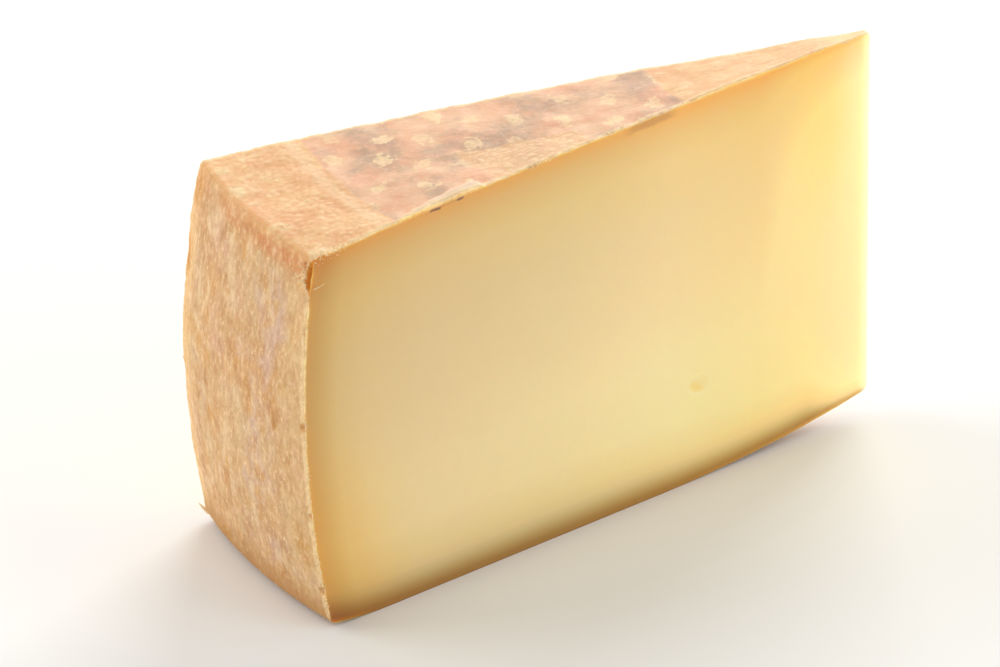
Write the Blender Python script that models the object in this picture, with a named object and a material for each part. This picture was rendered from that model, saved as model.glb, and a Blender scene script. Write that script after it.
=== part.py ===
"""A wedge of washed-rind hard cheese, cut from a wheel and standing on the wheel's flat face.

Metres, +Z up. The origin is at the middle of the wedge's base. +X runs from the heel, which is the
wheel's rim, to the tip, which was the wheel's middle. The cut with the eye in it faces -Y.
The shape is worked out round the wheel's axis first: radius from the axis, angle about it, height.
"""

import math

import bmesh
import bpy
from mathutils import Matrix, Vector, geometry, noise

# The wheel's radial section
RIM_RADIUS = 0.1575
RIM_HEIGHT = 0.0865
HEEL_BULGE = 0.0047
HEEL_LEAN = 0.0020
CROWN_RISE = 0.0083
CROWN_BOW = 0.0032
BASE_HOLLOW = 0.0052
BASE_HOLLOW_SHARE = 0.40
FOOT_RISE = 0.0014
FOOT_SHARE = 0.10
RIM_ROUNDING = 0.0024

# The two cuts: the angle between them, how far each leans, and the blunt tip where they meet
CUT_ANGLE = math.radians(20.7)
NEAR_LEAN = math.radians(2.2)
FAR_LEAN = math.radians(-1.3)
TIP_RADIUS = 0.0025
TIP_ROUNDING = 0.0010

# How finely each side of the section, the angle and the cuts are divided
BASE_STEPS = 24
HEEL_STEPS = 30
TOP_STEPS = 34
TIP_STEPS = 10
CORNER_STEPS = 3
ANGLE_STEPS = 22
CUT_SPACING = 0.009
LIP_WIDTH = 0.0016

# Relief of the rind, and of its torn edge along the cuts: height, length and noise seed of each
RIND_SWELL = 0.0005
RIND_SWELL_LENGTH = 0.016
RIND_SWELL_SEED = 1.7
RIND_CRAG = 0.00022
RIND_CRAG_LENGTH = 0.0045
RIND_CRAG_SEED = 5.1
EDGE_LIP = 0.0005
EDGE_LIP_LENGTH = 0.007
EDGE_LIP_SEED = 3.2
EDGE_TEAR = 0.0006
EDGE_TEAR_LENGTH = 0.0035
EDGE_TEAR_SEED = 9.4
CUT_WAVE = 0.0003
CUT_WAVE_LENGTH = 0.040
CUT_WAVE_SEED = 7.9

# The base is flat up to the first height, and the relief is at its full size from the second
RELIEF_STARTS = 0.001
RELIEF_FULL = 0.005

# The eye in the near cut: place, and half its length, height and depth
EYE_RADIUS = 0.0522
EYE_HEIGHT = 0.0236
EYE_HALF_SIZE = Vector((0.0034, 0.0022, 0.0019))

# The split under the top rim's near corner
SPLIT_HEIGHT = 0.0808
SPLIT_HALF_SIZE = Vector((0.0009, 0.0024, 0.0060))

# Small bites out of the near edge of the heel: height and half size
NEAR_BITES = ((0.0500, 0.0011), (0.0085, 0.0012), (0.0270, 0.0008))

# Pits in the heel's rind: share of the way from the middle to an edge (near is -1), height, half size
HEEL_PITS = ((-0.63, 0.0450, 0.0010), (-0.78, 0.0380, 0.0009), (0.22, 0.0700, 0.0008))
PIT_TALLNESS = 1.7

# Loose slivers of torn rind: which edge, share along it, length, and the way it points.
# Edges run: crest near to far, near_top heel to tip, near_heel base to top, foot near to far.
FLAKES = (
    ("foot", 0.97, 0.0026, (-0.80, 0.40, 0.45)),
    ("near_heel", 0.955, 0.0018, (-0.55, -0.75, 0.30)),
    ("near_heel", 0.900, 0.0015, (-0.50, -0.85, -0.10)),
    ("near_top", 0.045, 0.0017, (0.10, -0.95, 0.25)),
    ("near_top", 0.085, 0.0014, (0.30, -0.90, -0.20)),
    ("near_top", 0.520, 0.0018, (0.20, -0.95, 0.15)),
    ("near_top", 0.560, 0.0014, (-0.10, -0.97, -0.15)),
    ("crest", 0.30, 0.0014, (-0.85, -0.20, 0.45)),
    ("crest", 0.55, 0.0012, (-0.90, 0.10, 0.40)),
)
FLAKE_HALF_WIDTH = 0.0005
FLAKE_TAPER = 0.25
FLAKE_ROOT = 0.0014
FLAKE_INSET = 0.0011

SHARP_ANGLE = math.radians(35)
RIND_COLOUR = (0.70, 0.42, 0.20, 1.0)


def clear_scene():
    for thing in list(bpy.data.objects):
        bpy.data.objects.remove(thing)


def top_height(inward):
    """Height of the wheel's top face. inward is 0 at the rim and 1 at the tip."""
    return RIM_HEIGHT + CROWN_RISE * inward**2 + CROWN_BOW * 4 * inward * (1 - inward)


def base_height(inward):
    """Height of the underside, which rests flat between its hollow middle and its rounded foot."""
    hollow = max(0.0, inward - (1 - BASE_HOLLOW_SHARE)) / BASE_HOLLOW_SHARE
    foot = max(0.0, FOOT_SHARE - inward) / FOOT_SHARE
    return BASE_HOLLOW * hollow**2 + FOOT_RISE * foot**2


def heel_radius(upward):
    """Radius of the rim. upward is 0 at the base and 1 at the top."""
    return RIM_RADIUS + HEEL_BULGE * 4 * upward * (1 - upward) + HEEL_LEAN * (0.5 - upward)


def section_point(inward, upward):
    """(radius, height) of a point of the radial section."""
    radius = TIP_RADIUS + (heel_radius(upward) - TIP_RADIUS) * (1 - inward)
    low = base_height(inward)
    return Vector((radius, low + (top_height(inward) - low) * upward))


def section_sides():
    """Each side of the section as (point at a share of the way, steps, rounding of its far corner)."""
    return (
        (lambda share: section_point(1 - share, 0.0), BASE_STEPS, RIM_ROUNDING),
        (lambda share: section_point(0.0, share), HEEL_STEPS, RIM_ROUNDING),
        (lambda share: section_point(share, 1.0), TOP_STEPS, TIP_ROUNDING),
        (lambda share: section_point(1.0, 1 - share), TIP_STEPS, TIP_ROUNDING),
    )


def side_points(point_at, steps, round_before, round_after):
    """Points along a side, which stops short of both corners to leave room for their rounding."""
    length = (point_at(1.0) - point_at(0.0)).length
    first = round_before / length
    last = 1 - round_after / length
    return [point_at(first + (last - first) * step / steps) for step in range(steps + 1)]


def corner_points(before, corner, after):
    """The points between before and after on a curve that the corner pulls out."""
    shares = [step / CORNER_STEPS for step in range(1, CORNER_STEPS)]
    return [
        before * (1 - t) ** 2 + corner * 2 * t * (1 - t) + after * t**2 for t in shares
    ]


def section_outline():
    """The closed outline of the radial section, from the tip's foot round by base, heel and top."""
    sides = section_sides()
    runs = []
    for number, (point_at, steps, rounding) in enumerate(sides):
        runs.append(side_points(point_at, steps, sides[number - 1][2], rounding))
    outline = []
    for number, run in enumerate(runs):
        corner = sides[number][0](1.0)
        after = runs[(number + 1) % len(runs)][0]
        outline += run + corner_points(run[-1], corner, after)
    return outline


def wheel_point(radius, angle, height):
    """A point by its place round the wheel's axis. The angle is 0 on the wedge's middle plane."""
    return Vector((-radius * math.cos(angle), radius * math.sin(angle), height))


def spin_rind(mesh, outline):
    """Turns the section's outline about the wheel's axis. Returns its near and far loops in order."""
    near = [mesh.verts.new(wheel_point(p.x, -CUT_ANGLE / 2, p.y)) for p in outline]
    edges = [
        mesh.edges.new((near[number - 1], near[number])) for number in range(len(near))
    ]
    spun = bmesh.ops.spin(
        mesh,
        geom=near + edges,
        cent=(0, 0, 0),
        axis=(0, 0, 1),
        angle=-CUT_ANGLE,
        steps=ANGLE_STEPS,
    )
    last = [item for item in spun["geom_last"] if isinstance(item, bmesh.types.BMVert)]
    return near, loop_in_order(last, outline)


def loop_in_order(verts, outline):
    """The spun copies of the outline's points, in the outline's order."""
    loop = [None] * len(outline)
    for vert in verts:
        place = Vector((math.hypot(vert.co.x, vert.co.y), vert.co.z))
        away = [(point - place).length for point in outline]
        loop[away.index(min(away))] = vert
    return loop


def inner_ring(outline, width):
    """The outline moved inwards by width, for the lip of rind that stands along a cut."""
    ring = []
    for number, point in enumerate(outline):
        along = outline[(number + 1) % len(outline)] - outline[number - 1]
        inward = Vector((along.y, -along.x)).normalized()
        ring.append(point - inward * width)
    return ring


def cut_inner_points(outline):
    """Points inside a cut: a ring behind the lip, then a grid."""
    ring = [p for p in inner_ring(outline, LIP_WIDTH) if p.x > TIP_RADIUS + LIP_WIDTH / 2]
    columns = int((RIM_RADIUS - TIP_RADIUS) / CUT_SPACING)
    rows = int(RIM_HEIGHT / CUT_SPACING)
    grid = []
    for column in range(1, columns):
        for row in range(1, rows + 1):
            shift = 0.5 * (column % 2)
            grid.append(section_point(column / columns, (row - shift) / (rows + 0.5)))
    return ring + grid


def fill_cut(mesh, loop, outline, angle):
    """Closes one end of the spun rind with small faces, so that the cut can be uneven."""
    inner = cut_inner_points(outline)
    edges = [(number, (number + 1) % len(outline)) for number in range(len(outline))]
    filled = geometry.delaunay_2d_cdt(outline + inner, edges, [], 1, 1e-7)
    places, faces, sources = filled[0], filled[2], filled[3]
    verts = []
    for place, source in zip(places, sources):
        on_loop = [number for number in source if number < len(outline)]
        if on_loop:
            verts.append(loop[on_loop[0]])
        else:
            verts.append(mesh.verts.new(wheel_point(place.x, angle, place.y)))
    for face in faces:
        mesh.faces.new([verts[number] for number in face])


def wander(point, length, seed):
    """Smooth noise from -1 to 1 that changes over about this length."""
    return noise.noise(point / length + Vector((seed, 2.3 * seed, -seed)))


def lean_of_cuts(angle, height):
    """How far a point turns because the cuts lean. It is all of a cut's lean at that cut."""
    upward = height / RIM_HEIGHT
    if angle < 0:
        return -NEAR_LEAN * (0.5 - upward) * (-2 * angle / CUT_ANGLE)
    return FAR_LEAN * (0.5 - upward) * (2 * angle / CUT_ANGLE)


def relief_share(height):
    """0 on the flat base, 1 from a few millimetres above it."""
    return min(1.0, max(0.0, (height - RELIEF_STARTS) / (RELIEF_FULL - RELIEF_STARTS)))


def rind_relief(point, normal):
    """How far the rind stands out at a point: slow swells with finer crags on them."""
    swell = RIND_SWELL * wander(point, RIND_SWELL_LENGTH, RIND_SWELL_SEED)
    crag = RIND_CRAG * wander(point, RIND_CRAG_LENGTH, RIND_CRAG_SEED)
    return normal * (swell + crag) * relief_share(point.z)


def edge_relief(point, normal, outward):
    """Where rind meets a cut it is torn back a little, and what is left stands out as a lip."""
    torn = EDGE_TEAR * abs(wander(point, EDGE_TEAR_LENGTH, EDGE_TEAR_SEED))
    lip = EDGE_LIP * (0.5 + 0.5 * wander(point, EDGE_LIP_LENGTH, EDGE_LIP_SEED))
    return (outward * lip - normal * torn) * relief_share(point.z)


def cut_relief(point, outward):
    return outward * CUT_WAVE * wander(point, CUT_WAVE_LENGTH, CUT_WAVE_SEED)


def shape_relief(mesh, rim_verts, rind_verts):
    """Leans the cuts, then moves every point by its relief."""
    moves = {}
    for vert in mesh.verts:
        angle = math.atan2(vert.co.y, -vert.co.x)
        outward = Vector((math.sin(angle), math.cos(angle), 0.0)) * math.copysign(1.0, angle)
        normal = vert.normal
        if vert in rim_verts:
            rind = (normal - outward * normal.dot(outward)).normalized()
            moves[vert] = edge_relief(vert.co, rind, outward)
        elif vert in rind_verts:
            moves[vert] = rind_relief(vert.co, normal)
        else:
            moves[vert] = cut_relief(vert.co, outward)
    for vert, move in moves.items():
        angle = math.atan2(vert.co.y, -vert.co.x)
        turn = Matrix.Rotation(-lean_of_cuts(angle, vert.co.z), 3, "Z")
        vert.co = turn @ (vert.co + move)


def tip_verts(near, far, outline):
    """The points of the blunt tip, which stay as cut."""
    return {
        vert
        for loop in (near, far)
        for vert, place in zip(loop, outline)
        if place.x < TIP_RADIUS * 1.5
    }


def wedge_mesh():
    mesh = bmesh.new()
    outline = section_outline()
    near, far = spin_rind(mesh, outline)
    rind_verts = set(mesh.verts)
    fill_cut(mesh, near, outline, -CUT_ANGLE / 2)
    fill_cut(mesh, far, outline, CUT_ANGLE / 2)
    bmesh.ops.recalc_face_normals(mesh, faces=mesh.faces)
    mesh.normal_update()
    still = tip_verts(near, far, outline)
    shape_relief(mesh, (set(near) | set(far)) - still, rind_verts - still)
    data = bpy.data.meshes.new("cheese_wedge")
    mesh.to_mesh(data)
    mesh.free()
    return data


def on_near_cut(radius, height):
    """A point on the near cut, with the cut's lean."""
    upward = height / RIM_HEIGHT
    return wheel_point(radius, -CUT_ANGLE / 2 - NEAR_LEAN * (0.5 - upward), height)


def edge_point(edge, share, inset=0.0):
    """A point on one of the wedge's edges, by its share of the way along it.

    inset moves it into the body from the rind, so that what starts there is held.
    """
    if edge == "near_top":
        place = section_point(share, 1.0) - Vector((0.0, inset))
        return on_near_cut(place.x, place.y)
    if edge == "near_heel":
        place = section_point(0.0, share) - Vector((inset, 0.0))
        return on_near_cut(place.x, place.y)
    upward = 1.0 if edge == "crest" else 0.0
    place = section_point(0.0, upward) - Vector((inset, inset if upward else -inset))
    lean = NEAR_LEAN if share < 0.5 else FAR_LEAN
    angle = (2 * share - 1) * (CUT_ANGLE / 2 + lean * (0.5 - upward))
    return wheel_point(place.x, angle, place.y)


def helper(name, data, collection):
    """An object that only cuts or joins, and doesn't show."""
    tool = bpy.data.objects.new(name, data)
    tool.hide_render = True
    tool.display_type = "WIRE"
    collection.objects.link(tool)
    return tool


def ball(half_size, centre, turn, segments):
    """A closed ball, stretched to its three half sizes, turned about Z and put in place."""
    mesh = bmesh.new()
    bmesh.ops.create_uvsphere(mesh, u_segments=segments, v_segments=segments // 2, radius=1.0)
    stretch = Matrix.Diagonal(half_size).to_4x4()
    turned = Matrix.Rotation(turn, 4, "Z")
    mesh.transform(Matrix.Translation(centre) @ turned @ stretch)
    data = bpy.data.meshes.new("ball")
    mesh.to_mesh(data)
    mesh.free()
    return data


def sliver(root, way, length):
    """A thin tapered sliver that starts inside the rind and points out of it."""
    mesh = bmesh.new()
    bmesh.ops.create_cone(
        mesh,
        cap_ends=True,
        segments=5,
        radius1=FLAKE_HALF_WIDTH,
        radius2=FLAKE_HALF_WIDTH * FLAKE_TAPER,
        depth=length + FLAKE_ROOT,
    )
    turned = way.to_track_quat("Z", "Y").to_matrix().to_4x4()
    middle = root + way * (length - FLAKE_ROOT) / 2
    mesh.transform(Matrix.Translation(middle) @ turned)
    data = bpy.data.meshes.new("sliver")
    mesh.to_mesh(data)
    mesh.free()
    return data


def make_cutters(collection):
    """The eye, the split under the rim's corner, and the bites along the heel's near edge."""
    turn = CUT_ANGLE / 2
    eye_size = Vector((EYE_HALF_SIZE.x, EYE_HALF_SIZE.z, EYE_HALF_SIZE.y))
    eye_place = on_near_cut(EYE_RADIUS, EYE_HEIGHT)
    helper("eye", ball(eye_size, eye_place, turn, 16), collection)
    split_place = edge_point("near_heel", SPLIT_HEIGHT / RIM_HEIGHT)
    split_place.x += SPLIT_HALF_SIZE.x
    helper("split", ball(SPLIT_HALF_SIZE, split_place, turn, 8), collection)
    for height, half in NEAR_BITES:
        place = edge_point("near_heel", height / RIM_HEIGHT)
        helper("bite", ball(Vector((half, half, half)), place, turn, 6), collection)
    for share, height, half in HEEL_PITS:
        angle = share * CUT_ANGLE / 2
        place = wheel_point(heel_radius(height / RIM_HEIGHT), angle, height)
        size = Vector((half, half, half * PIT_TALLNESS))
        helper("pit", ball(size, place, -angle, 8), collection)


def make_slivers(collection):
    for edge, share, length, way in FLAKES:
        root = edge_point(edge, share, FLAKE_INSET)
        data = sliver(root, Vector(way).normalized(), length)
        helper("sliver", data, collection)


def collection_named(name):
    collection = bpy.data.collections.new(name)
    bpy.context.scene.collection.children.link(collection)
    return collection


def cheese_material():
    material = bpy.data.materials.new("washed_rind_cheese")
    material.use_nodes = True
    shader = material.node_tree.nodes["Principled BSDF"]
    shader.inputs["Base Color"].default_value = RIND_COLOUR
    shader.inputs["Roughness"].default_value = 0.55
    shader.inputs["Metallic"].default_value = 0.0
    return material


def cut_and_join(wedge, cutters, slivers):
    """Cuts the eye, split and bites, joins the slivers, and keeps the finished mesh."""
    cut = wedge.modifiers.new("cuts", "BOOLEAN")
    cut.operand_type = "COLLECTION"
    cut.operation = "DIFFERENCE"
    cut.collection = cutters
    join = wedge.modifiers.new("slivers", "BOOLEAN")
    join.operand_type = "COLLECTION"
    join.operation = "UNION"
    join.collection = slivers
    graph = bpy.context.evaluated_depsgraph_get()
    finished = bpy.data.meshes.new_from_object(wedge.evaluated_get(graph))
    wedge.modifiers.clear()
    wedge.data = finished
    for collection in (cutters, slivers):
        for tool in list(collection.objects):
            bpy.data.objects.remove(tool)
        bpy.data.collections.remove(collection)


def move_to_base(mesh):
    """Puts the origin at the middle of the wedge's base."""
    spans = []
    for axis in range(3):
        places = [vert.co[axis] for vert in mesh.vertices]
        spans.append((min(places), max(places)))
    middle = [(low + high) / 2 for low, high in spans]
    mesh.transform(Matrix.Translation((-middle[0], -middle[1], -spans[2][0])))


def main():
    clear_scene()
    wedge = bpy.data.objects.new("cheese_wedge", wedge_mesh())
    bpy.context.scene.collection.objects.link(wedge)
    cutters = collection_named("cutters")
    slivers = collection_named("slivers")
    make_cutters(cutters)
    make_slivers(slivers)
    cut_and_join(wedge, cutters, slivers)
    move_to_base(wedge.data)
    wedge.data.name = "cheese_wedge"
    wedge.data.materials.clear()
    wedge.data.materials.append(cheese_material())
    wedge.data.shade_smooth()
    wedge.data.set_sharp_from_angle(angle=SHARP_ANGLE)


main()
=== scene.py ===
"""A wedge of washed-rind hard cheese on a pale floor in soft studio light.

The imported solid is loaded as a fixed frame. The wedge's fine surface takes the solid's place, and
torn rind, scales and crumbs lie on it. Everything is in metres, +Z up. The heel is at -X, the tip
at +X, and the cut with the eye in it faces -Y.
The shape is worked out round the axis of the wheel that the wedge was cut from: radius from the
axis, angle about it (0 on the wedge's middle plane, negative towards the near cut), and height.
"""

import math

import bmesh
import bpy
import numpy as np
from bpy.props import FloatProperty, FloatVectorProperty, IntProperty, PointerProperty
from mathutils import Matrix, Vector, geometry, noise


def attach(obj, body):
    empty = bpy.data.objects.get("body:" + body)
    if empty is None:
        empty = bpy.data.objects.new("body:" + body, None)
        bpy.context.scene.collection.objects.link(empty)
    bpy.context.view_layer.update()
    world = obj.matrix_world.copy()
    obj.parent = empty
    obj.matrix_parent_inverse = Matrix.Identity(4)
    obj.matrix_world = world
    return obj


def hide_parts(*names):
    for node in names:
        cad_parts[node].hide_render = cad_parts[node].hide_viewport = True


bl_info = {
    "name": "Hard Cheese Wedge",
    "version": (1, 0, 0),
    "blender": (4, 5, 0),
    "location": "3D View > Sidebar > Cheese",
    "description": "Builds a wedge of washed-rind hard cheese on its packed solid",
    "category": "Object",
}

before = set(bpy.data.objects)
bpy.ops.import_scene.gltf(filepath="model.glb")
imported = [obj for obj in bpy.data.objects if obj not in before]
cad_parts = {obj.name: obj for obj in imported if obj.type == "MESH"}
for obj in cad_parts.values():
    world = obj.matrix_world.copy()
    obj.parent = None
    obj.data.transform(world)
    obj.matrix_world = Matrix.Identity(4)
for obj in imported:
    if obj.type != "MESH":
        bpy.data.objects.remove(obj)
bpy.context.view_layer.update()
BODY = "root"
NODE = "cheese_wedge"
MM = 0.001

# Where the wheel's axis stands in the frame
WHEEL_AXIS = Vector((0.08214, 0.00069, 0.0))

# The wheel's radial section, as the solid has it
RIM_RADIUS = 157.5 * MM
RIM_HEIGHT = 86.5 * MM
HEEL_BULGE = 4.7 * MM
HEEL_LEAN = 2.0 * MM
CROWN_RISE = 8.3 * MM
CROWN_BOW = 3.2 * MM
BASE_HOLLOW = 5.2 * MM
BASE_HOLLOW_SHARE = 0.40
FOOT_RISE = 1.4 * MM
FOOT_SHARE = 0.10
RIM_ROUNDING = 1.5 * MM
TIP_RADIUS = 2.5 * MM
TIP_ROUNDING = 1.8 * MM
CUT_ANGLE = math.radians(20.7)
NEAR_LEAN = math.radians(2.2)
FAR_LEAN = math.radians(-1.3)

# Rows of faces over the top, as (their inner radius, their step) in mm: finer on the pebbled rind
TOP_ROWS = ((132.0, 0.42), (107.0, 0.62), (78.0, 0.50), (53.0, 0.75), (2.5, 1.25))

# Rows of faces round each rounded corner of the section
CORNER_ROWS = 7

# The printed zone of the top rind lies between these two radii. Then: the radii between which it
# fades in at either edge, and how ragged those edges are
PRINT_OUTER = 134.0 * MM
PRINT_INNER = 55.5 * MM
PRINT_FADES = (
    (PRINT_OUTER + 1.8 * MM, PRINT_OUTER + 0.8 * MM),
    (PRINT_INNER, PRINT_INNER + 2 * MM),
)
PRINT_RAGGED = 2.4 * MM

# The net that its marks are set in: its turn, its cells to a metre, and how far its lines waver
MARK_TURN = math.radians(33)
MARK_CELLS = (105, 88, 1)
MARK_WAVER = 1.6 * MM

# The pebbled patch beside the near cut: its two radii and its widths from the cut at them
PATCH_INNER = 79.5 * MM
PATCH_OUTER = 109.0 * MM
PATCH_WIDTHS = (7.5 * MM, 20.5 * MM)

# The rolled lip of rind over the near cut: radii in mm, and its widths there in mm
ROLL_RADII = (110.5, 111.7, 117.0, 126.0, 136.0)
ROLL_WIDTHS = (0.0, 4.4, 3.8, 2.4, 0.0)

# Marks on the near cut, as (radius, height): the eye, and two creases with their corners in mm
EYE_PLACE = (52.7 * MM, 23.4 * MM)
EYE_HALF = (3.0 * MM, 2.2 * MM)
EYE_DEPTH = 0.55 * MM
CREASES = (
    ((137.5, 31.0), (109.5, 29.0), (69.5, 32.0)),
    ((37.5, 76.0), (34.0, 62.0), (29.5, 46.0)),
)
CREASE_WIDTH = 1.4 * MM
CREASE_DEPTH = 0.10 * MM

# Dark residue under the top edge of the near cut, and at 66 mm a painted shadow under that edge,
# as (radius, half length, depth, half height, strength), in mm, and how ragged their edges are
RESIDUE_AND_SHADOW = (
    (125.2, 1.7, 1.0, 0.42, 0.75),
    (122.0, 4.0, 0.8, 0.20, 0.22),
    (118.6, 1.1, 0.8, 0.40, 0.70),
    # A painted shadow under the top edge
    (66.0, 9.0, 1.0, 2.0, 0.28),
)
RESIDUE_AND_SHADOW_RAGGED = 1.2 * MM

# The split in the rind beside the near edge, under the crest: heights in mm, its width there as a
# share of the full width, and how far from the edge it is at its full depth
SPLIT_HEIGHTS = (78.0, 79.8, 81.2, 82.8, 84.0, 85.4, 87.0)
SPLIT_SHARES = (0.0, 0.40, 0.90, 1.0, 0.50, 0.25, 0.0)
SPLIT_WIDTH = 2.2 * MM
SPLIT_DEPTH = 0.9 * MM
SPLIT_SLOPE = 1.0 * MM

# Places along the crest where the rind is dry and flaky, as (share from the middle to an edge, half
# width): near is -1, far is 1
CREST_DRY = ((-0.93, 0.10), (-0.36, 0.12), (0.38, 0.12), (0.75, 0.05))

# Ochre spots on the heel, as (share from the middle to an edge, height, half width, half height), in
# mm. Those with a half height under 1.5 mm lie in a bite or a pit.
HEEL_SPOTS = (
    (-0.39, 76.0, 1.3, 3.4),
    (0.89, 81.8, 2.4, 4.0),
    (0.97, 65.0, 1.2, 5.0),
    (-0.97, 48.3, 1.0, 1.4),
    (-0.98, 71.0, 0.8, 3.0),
    (-0.85, 19.0, 2.4, 5.0),
    (0.50, 5.0, 6.0, 2.5),
    (-0.99, 8.5, 1.0, 1.3),
    (-0.63, 45.4, 0.7, 1.0),
    (-0.78, 38.6, 0.6, 1.1),
    (0.22, 70.0, 0.6, 0.9),
)

# Pits in the heel's rind, as (share from the middle to an edge, height, half size), in mm; how much
# taller than wide they are; and their depth as a share of their half size
HEEL_PITS = ((-0.63, 45.4, 0.65), (-0.78, 38.6, 0.55), (0.22, 70.0, 0.6))
PIT_STRETCH = 1.7
PIT_DEPTH_SHARE = 0.9

# Small bites out of the heel's near edge, as (height, half size), in mm; the way into the wedge that
# they go, in the wheel's own axes; and their depth as a share of their half size
NEAR_BITES = ((48.3, 1.1), (8.5, 1.1), (27.0, 0.8))
BITE_WAY = (0.75, 0.65, 0.0)
BITE_DEPTH_SHARE = 0.8

# Slivers of torn rind and a loose fibre: where each starts, as an edge and a share of the way along
# it, as a radius and height on the near cut, or as a distance from that cut and a height on the heel;
# then its way, length and half width in mm
SLIVERS = (
    (("far_heel", 0.010), (-0.56, 0.62, 0.42), 2.4, 0.50),
    (("near_top", 0.020), (0.15, -0.95, 0.35), 1.3, 0.22),
    (("near_top", 0.050), (0.35, -0.90, -0.20), 1.2, 0.20),
    (("near_top", 0.090), (0.50, -0.80, 0.20), 1.1, 0.18),
    (("near_top", 0.520), (0.35, -0.90, 0.15), 1.2, 0.20),
    (("near_top", 0.545), (-0.20, -0.95, -0.15), 1.0, 0.18),
    ((2.6, 85.2), (-0.60, -0.30, 0.70), 1.0, 0.24),
    ((2.9, 84.2), (-0.85, 0.10, 0.50), 1.1, 0.28),
    ((2.5, 83.2), (-0.90, -0.30, -0.10), 0.9, 0.26),
    ((3.0, 82.3), (-0.80, 0.50, -0.30), 1.2, 0.26),
    ((2.5, 81.3), (-0.80, 0.20, -0.50), 0.9, 0.24),
    ((1.8, 80.2), (-0.80, 0.40, -0.40), 0.8, 0.20),
    ((156.6, 79.6), (0.90, -0.36, 0.25), 2.6, 0.15),
)
SLIVER_ROOT = 0.9 * MM
SLIVER_RINGS = 7
SLIVER_CORNERS = 8

# The smallest of the scattered lumps, as a share of the largest
LEAST_SIZE = 0.3

# The camera: where it looks, from which side and how far away, in the photograph's perspective
CAMERA_TARGET = Vector((0.00164, 0.00069, 0.043))
CAMERA_SHIFT = (-0.01393, -0.0036)
CAMERA_AZIMUTH = -0.4898
CAMERA_ELEVATION = 0.4723
CAMERA_ROLL = -0.0126
CAMERA_DISTANCE = 1.7653
CAMERA_LENS = 288.0


def linear(hex_colour):
    """An sRGB hex colour as the linear values that Blender's nodes take."""
    values = []
    for start in (1, 3, 5):
        share = int(hex_colour[start : start + 2], 16) / 255
        low = share / 12.92
        values.append(low if share <= 0.04045 else ((share + 0.055) / 1.055) ** 2.4)
    return (*values, 1.0)


def colour_setting(name, description, hex_colour):
    """A colour that can be set in the panel, with this hex colour as its default."""
    return FloatVectorProperty(
        name=name,
        description=description,
        subtype="COLOR",
        size=4,
        min=0.0,
        max=1.0,
        default=linear(hex_colour),
    )


class CheeseBodySettings(bpy.types.PropertyGroup):
    """Sizes of the wedge's fine surface."""

    row_step: FloatProperty(
        name="Row step",
        description="Height of a row of faces on the heel",
        default=0.42 * MM,
        unit="LENGTH",
    )
    base_step: FloatProperty(
        name="Base step",
        description="Length of a row of faces on the base",
        default=2.0 * MM,
        unit="LENGTH",
    )
    columns: IntProperty(
        name="Columns", description="Faces across the rind between the cuts", default=126
    )
    cut_step: FloatProperty(
        name="Cut step",
        description="Size of the faces in the middle of a cut",
        default=2.3 * MM,
        unit="LENGTH",
    )
    pebble_pitch: FloatProperty(
        name="Pebble pitch",
        description="Distance between the pebbles of the top rind",
        default=1.85 * MM,
        unit="LENGTH",
    )
    pebble_height: FloatProperty(
        name="Pebble height",
        description="How far a pebble stands out",
        default=0.18 * MM,
        unit="LENGTH",
    )
    fibre_height: FloatProperty(
        name="Fibre height",
        description="How far the upright fibres of the heel stand out",
        default=0.075 * MM,
        unit="LENGTH",
    )


class CheeseFinishSettings(bpy.types.PropertyGroup):
    """Colours of paste and rind."""

    paste: colour_setting("Paste", "The pressed paste, away from the rind", "#FFF4BF")
    heel: colour_setting("Heel rind", "The washed rind of the heel", "#D6B080")
    top: colour_setting("Top rind", "The washed rind of the top", "#EAB37D")
    torn: colour_setting("Torn rind", "Dry torn edges, scales and crumbs", "#F8D9A4")
    wash: colour_setting("Ink wash", "The faded wash over the printed zone", "#B1957C")
    mark: colour_setting("Marks", "The pale marks in the printed zone", "#F9DAA6")


class CheeseRindSettings(bpy.types.PropertyGroup):
    """Sizes of what lies loose or torn on the rind."""

    scale_spacing: FloatProperty(
        name="Scale spacing",
        description="Least distance between scales on the heel",
        default=3.4 * MM,
        unit="LENGTH",
    )
    scale_length: FloatProperty(
        name="Scale length",
        description="Length of a scale of dry rind on the heel",
        default=1.5 * MM,
        unit="LENGTH",
    )
    flake_spacing: FloatProperty(
        name="Flake spacing",
        description="Distance between torn flakes along the edges",
        default=0.55 * MM,
        unit="LENGTH",
    )
    flake_length: FloatProperty(
        name="Flake length",
        description="Length of a torn flake",
        default=0.85 * MM,
        unit="LENGTH",
    )
    seed: IntProperty(name="Seed", description="Start of the random placing", default=7)


class CheeseStageSettings(bpy.types.PropertyGroup):
    """The floor and the lights."""

    floor: colour_setting("Floor", "The plain pale floor", "#F4F3EF")
    surround: FloatProperty(
        name="Surround", description="Strength of the even white light all round", default=0.62
    )
    key_power: FloatProperty(
        name="Key power",
        description="Power of the large light behind and to the right",
        default=17.3,
        unit="POWER",
    )
    front_power: FloatProperty(
        name="Front power",
        description="Power of the large soft light in front of the near cut",
        default=3.6,
        unit="POWER",
    )
    fill_power: FloatProperty(
        name="Fill power",
        description="Power of the soft light on the left",
        default=9.0,
        unit="POWER",
    )


SETTINGS = {
    "cheese_body": CheeseBodySettings,
    "cheese_finish": CheeseFinishSettings,
    "cheese_rind": CheeseRindSettings,
    "cheese_stage": CheeseStageSettings,
}


# The wheel's section and the wedge's edges


def top_height(inward):
    """Height of the wheel's top face. inward is 0 at the rim and 1 at the tip."""
    return RIM_HEIGHT + CROWN_RISE * inward**2 + CROWN_BOW * 4 * inward * (1 - inward)


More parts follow.
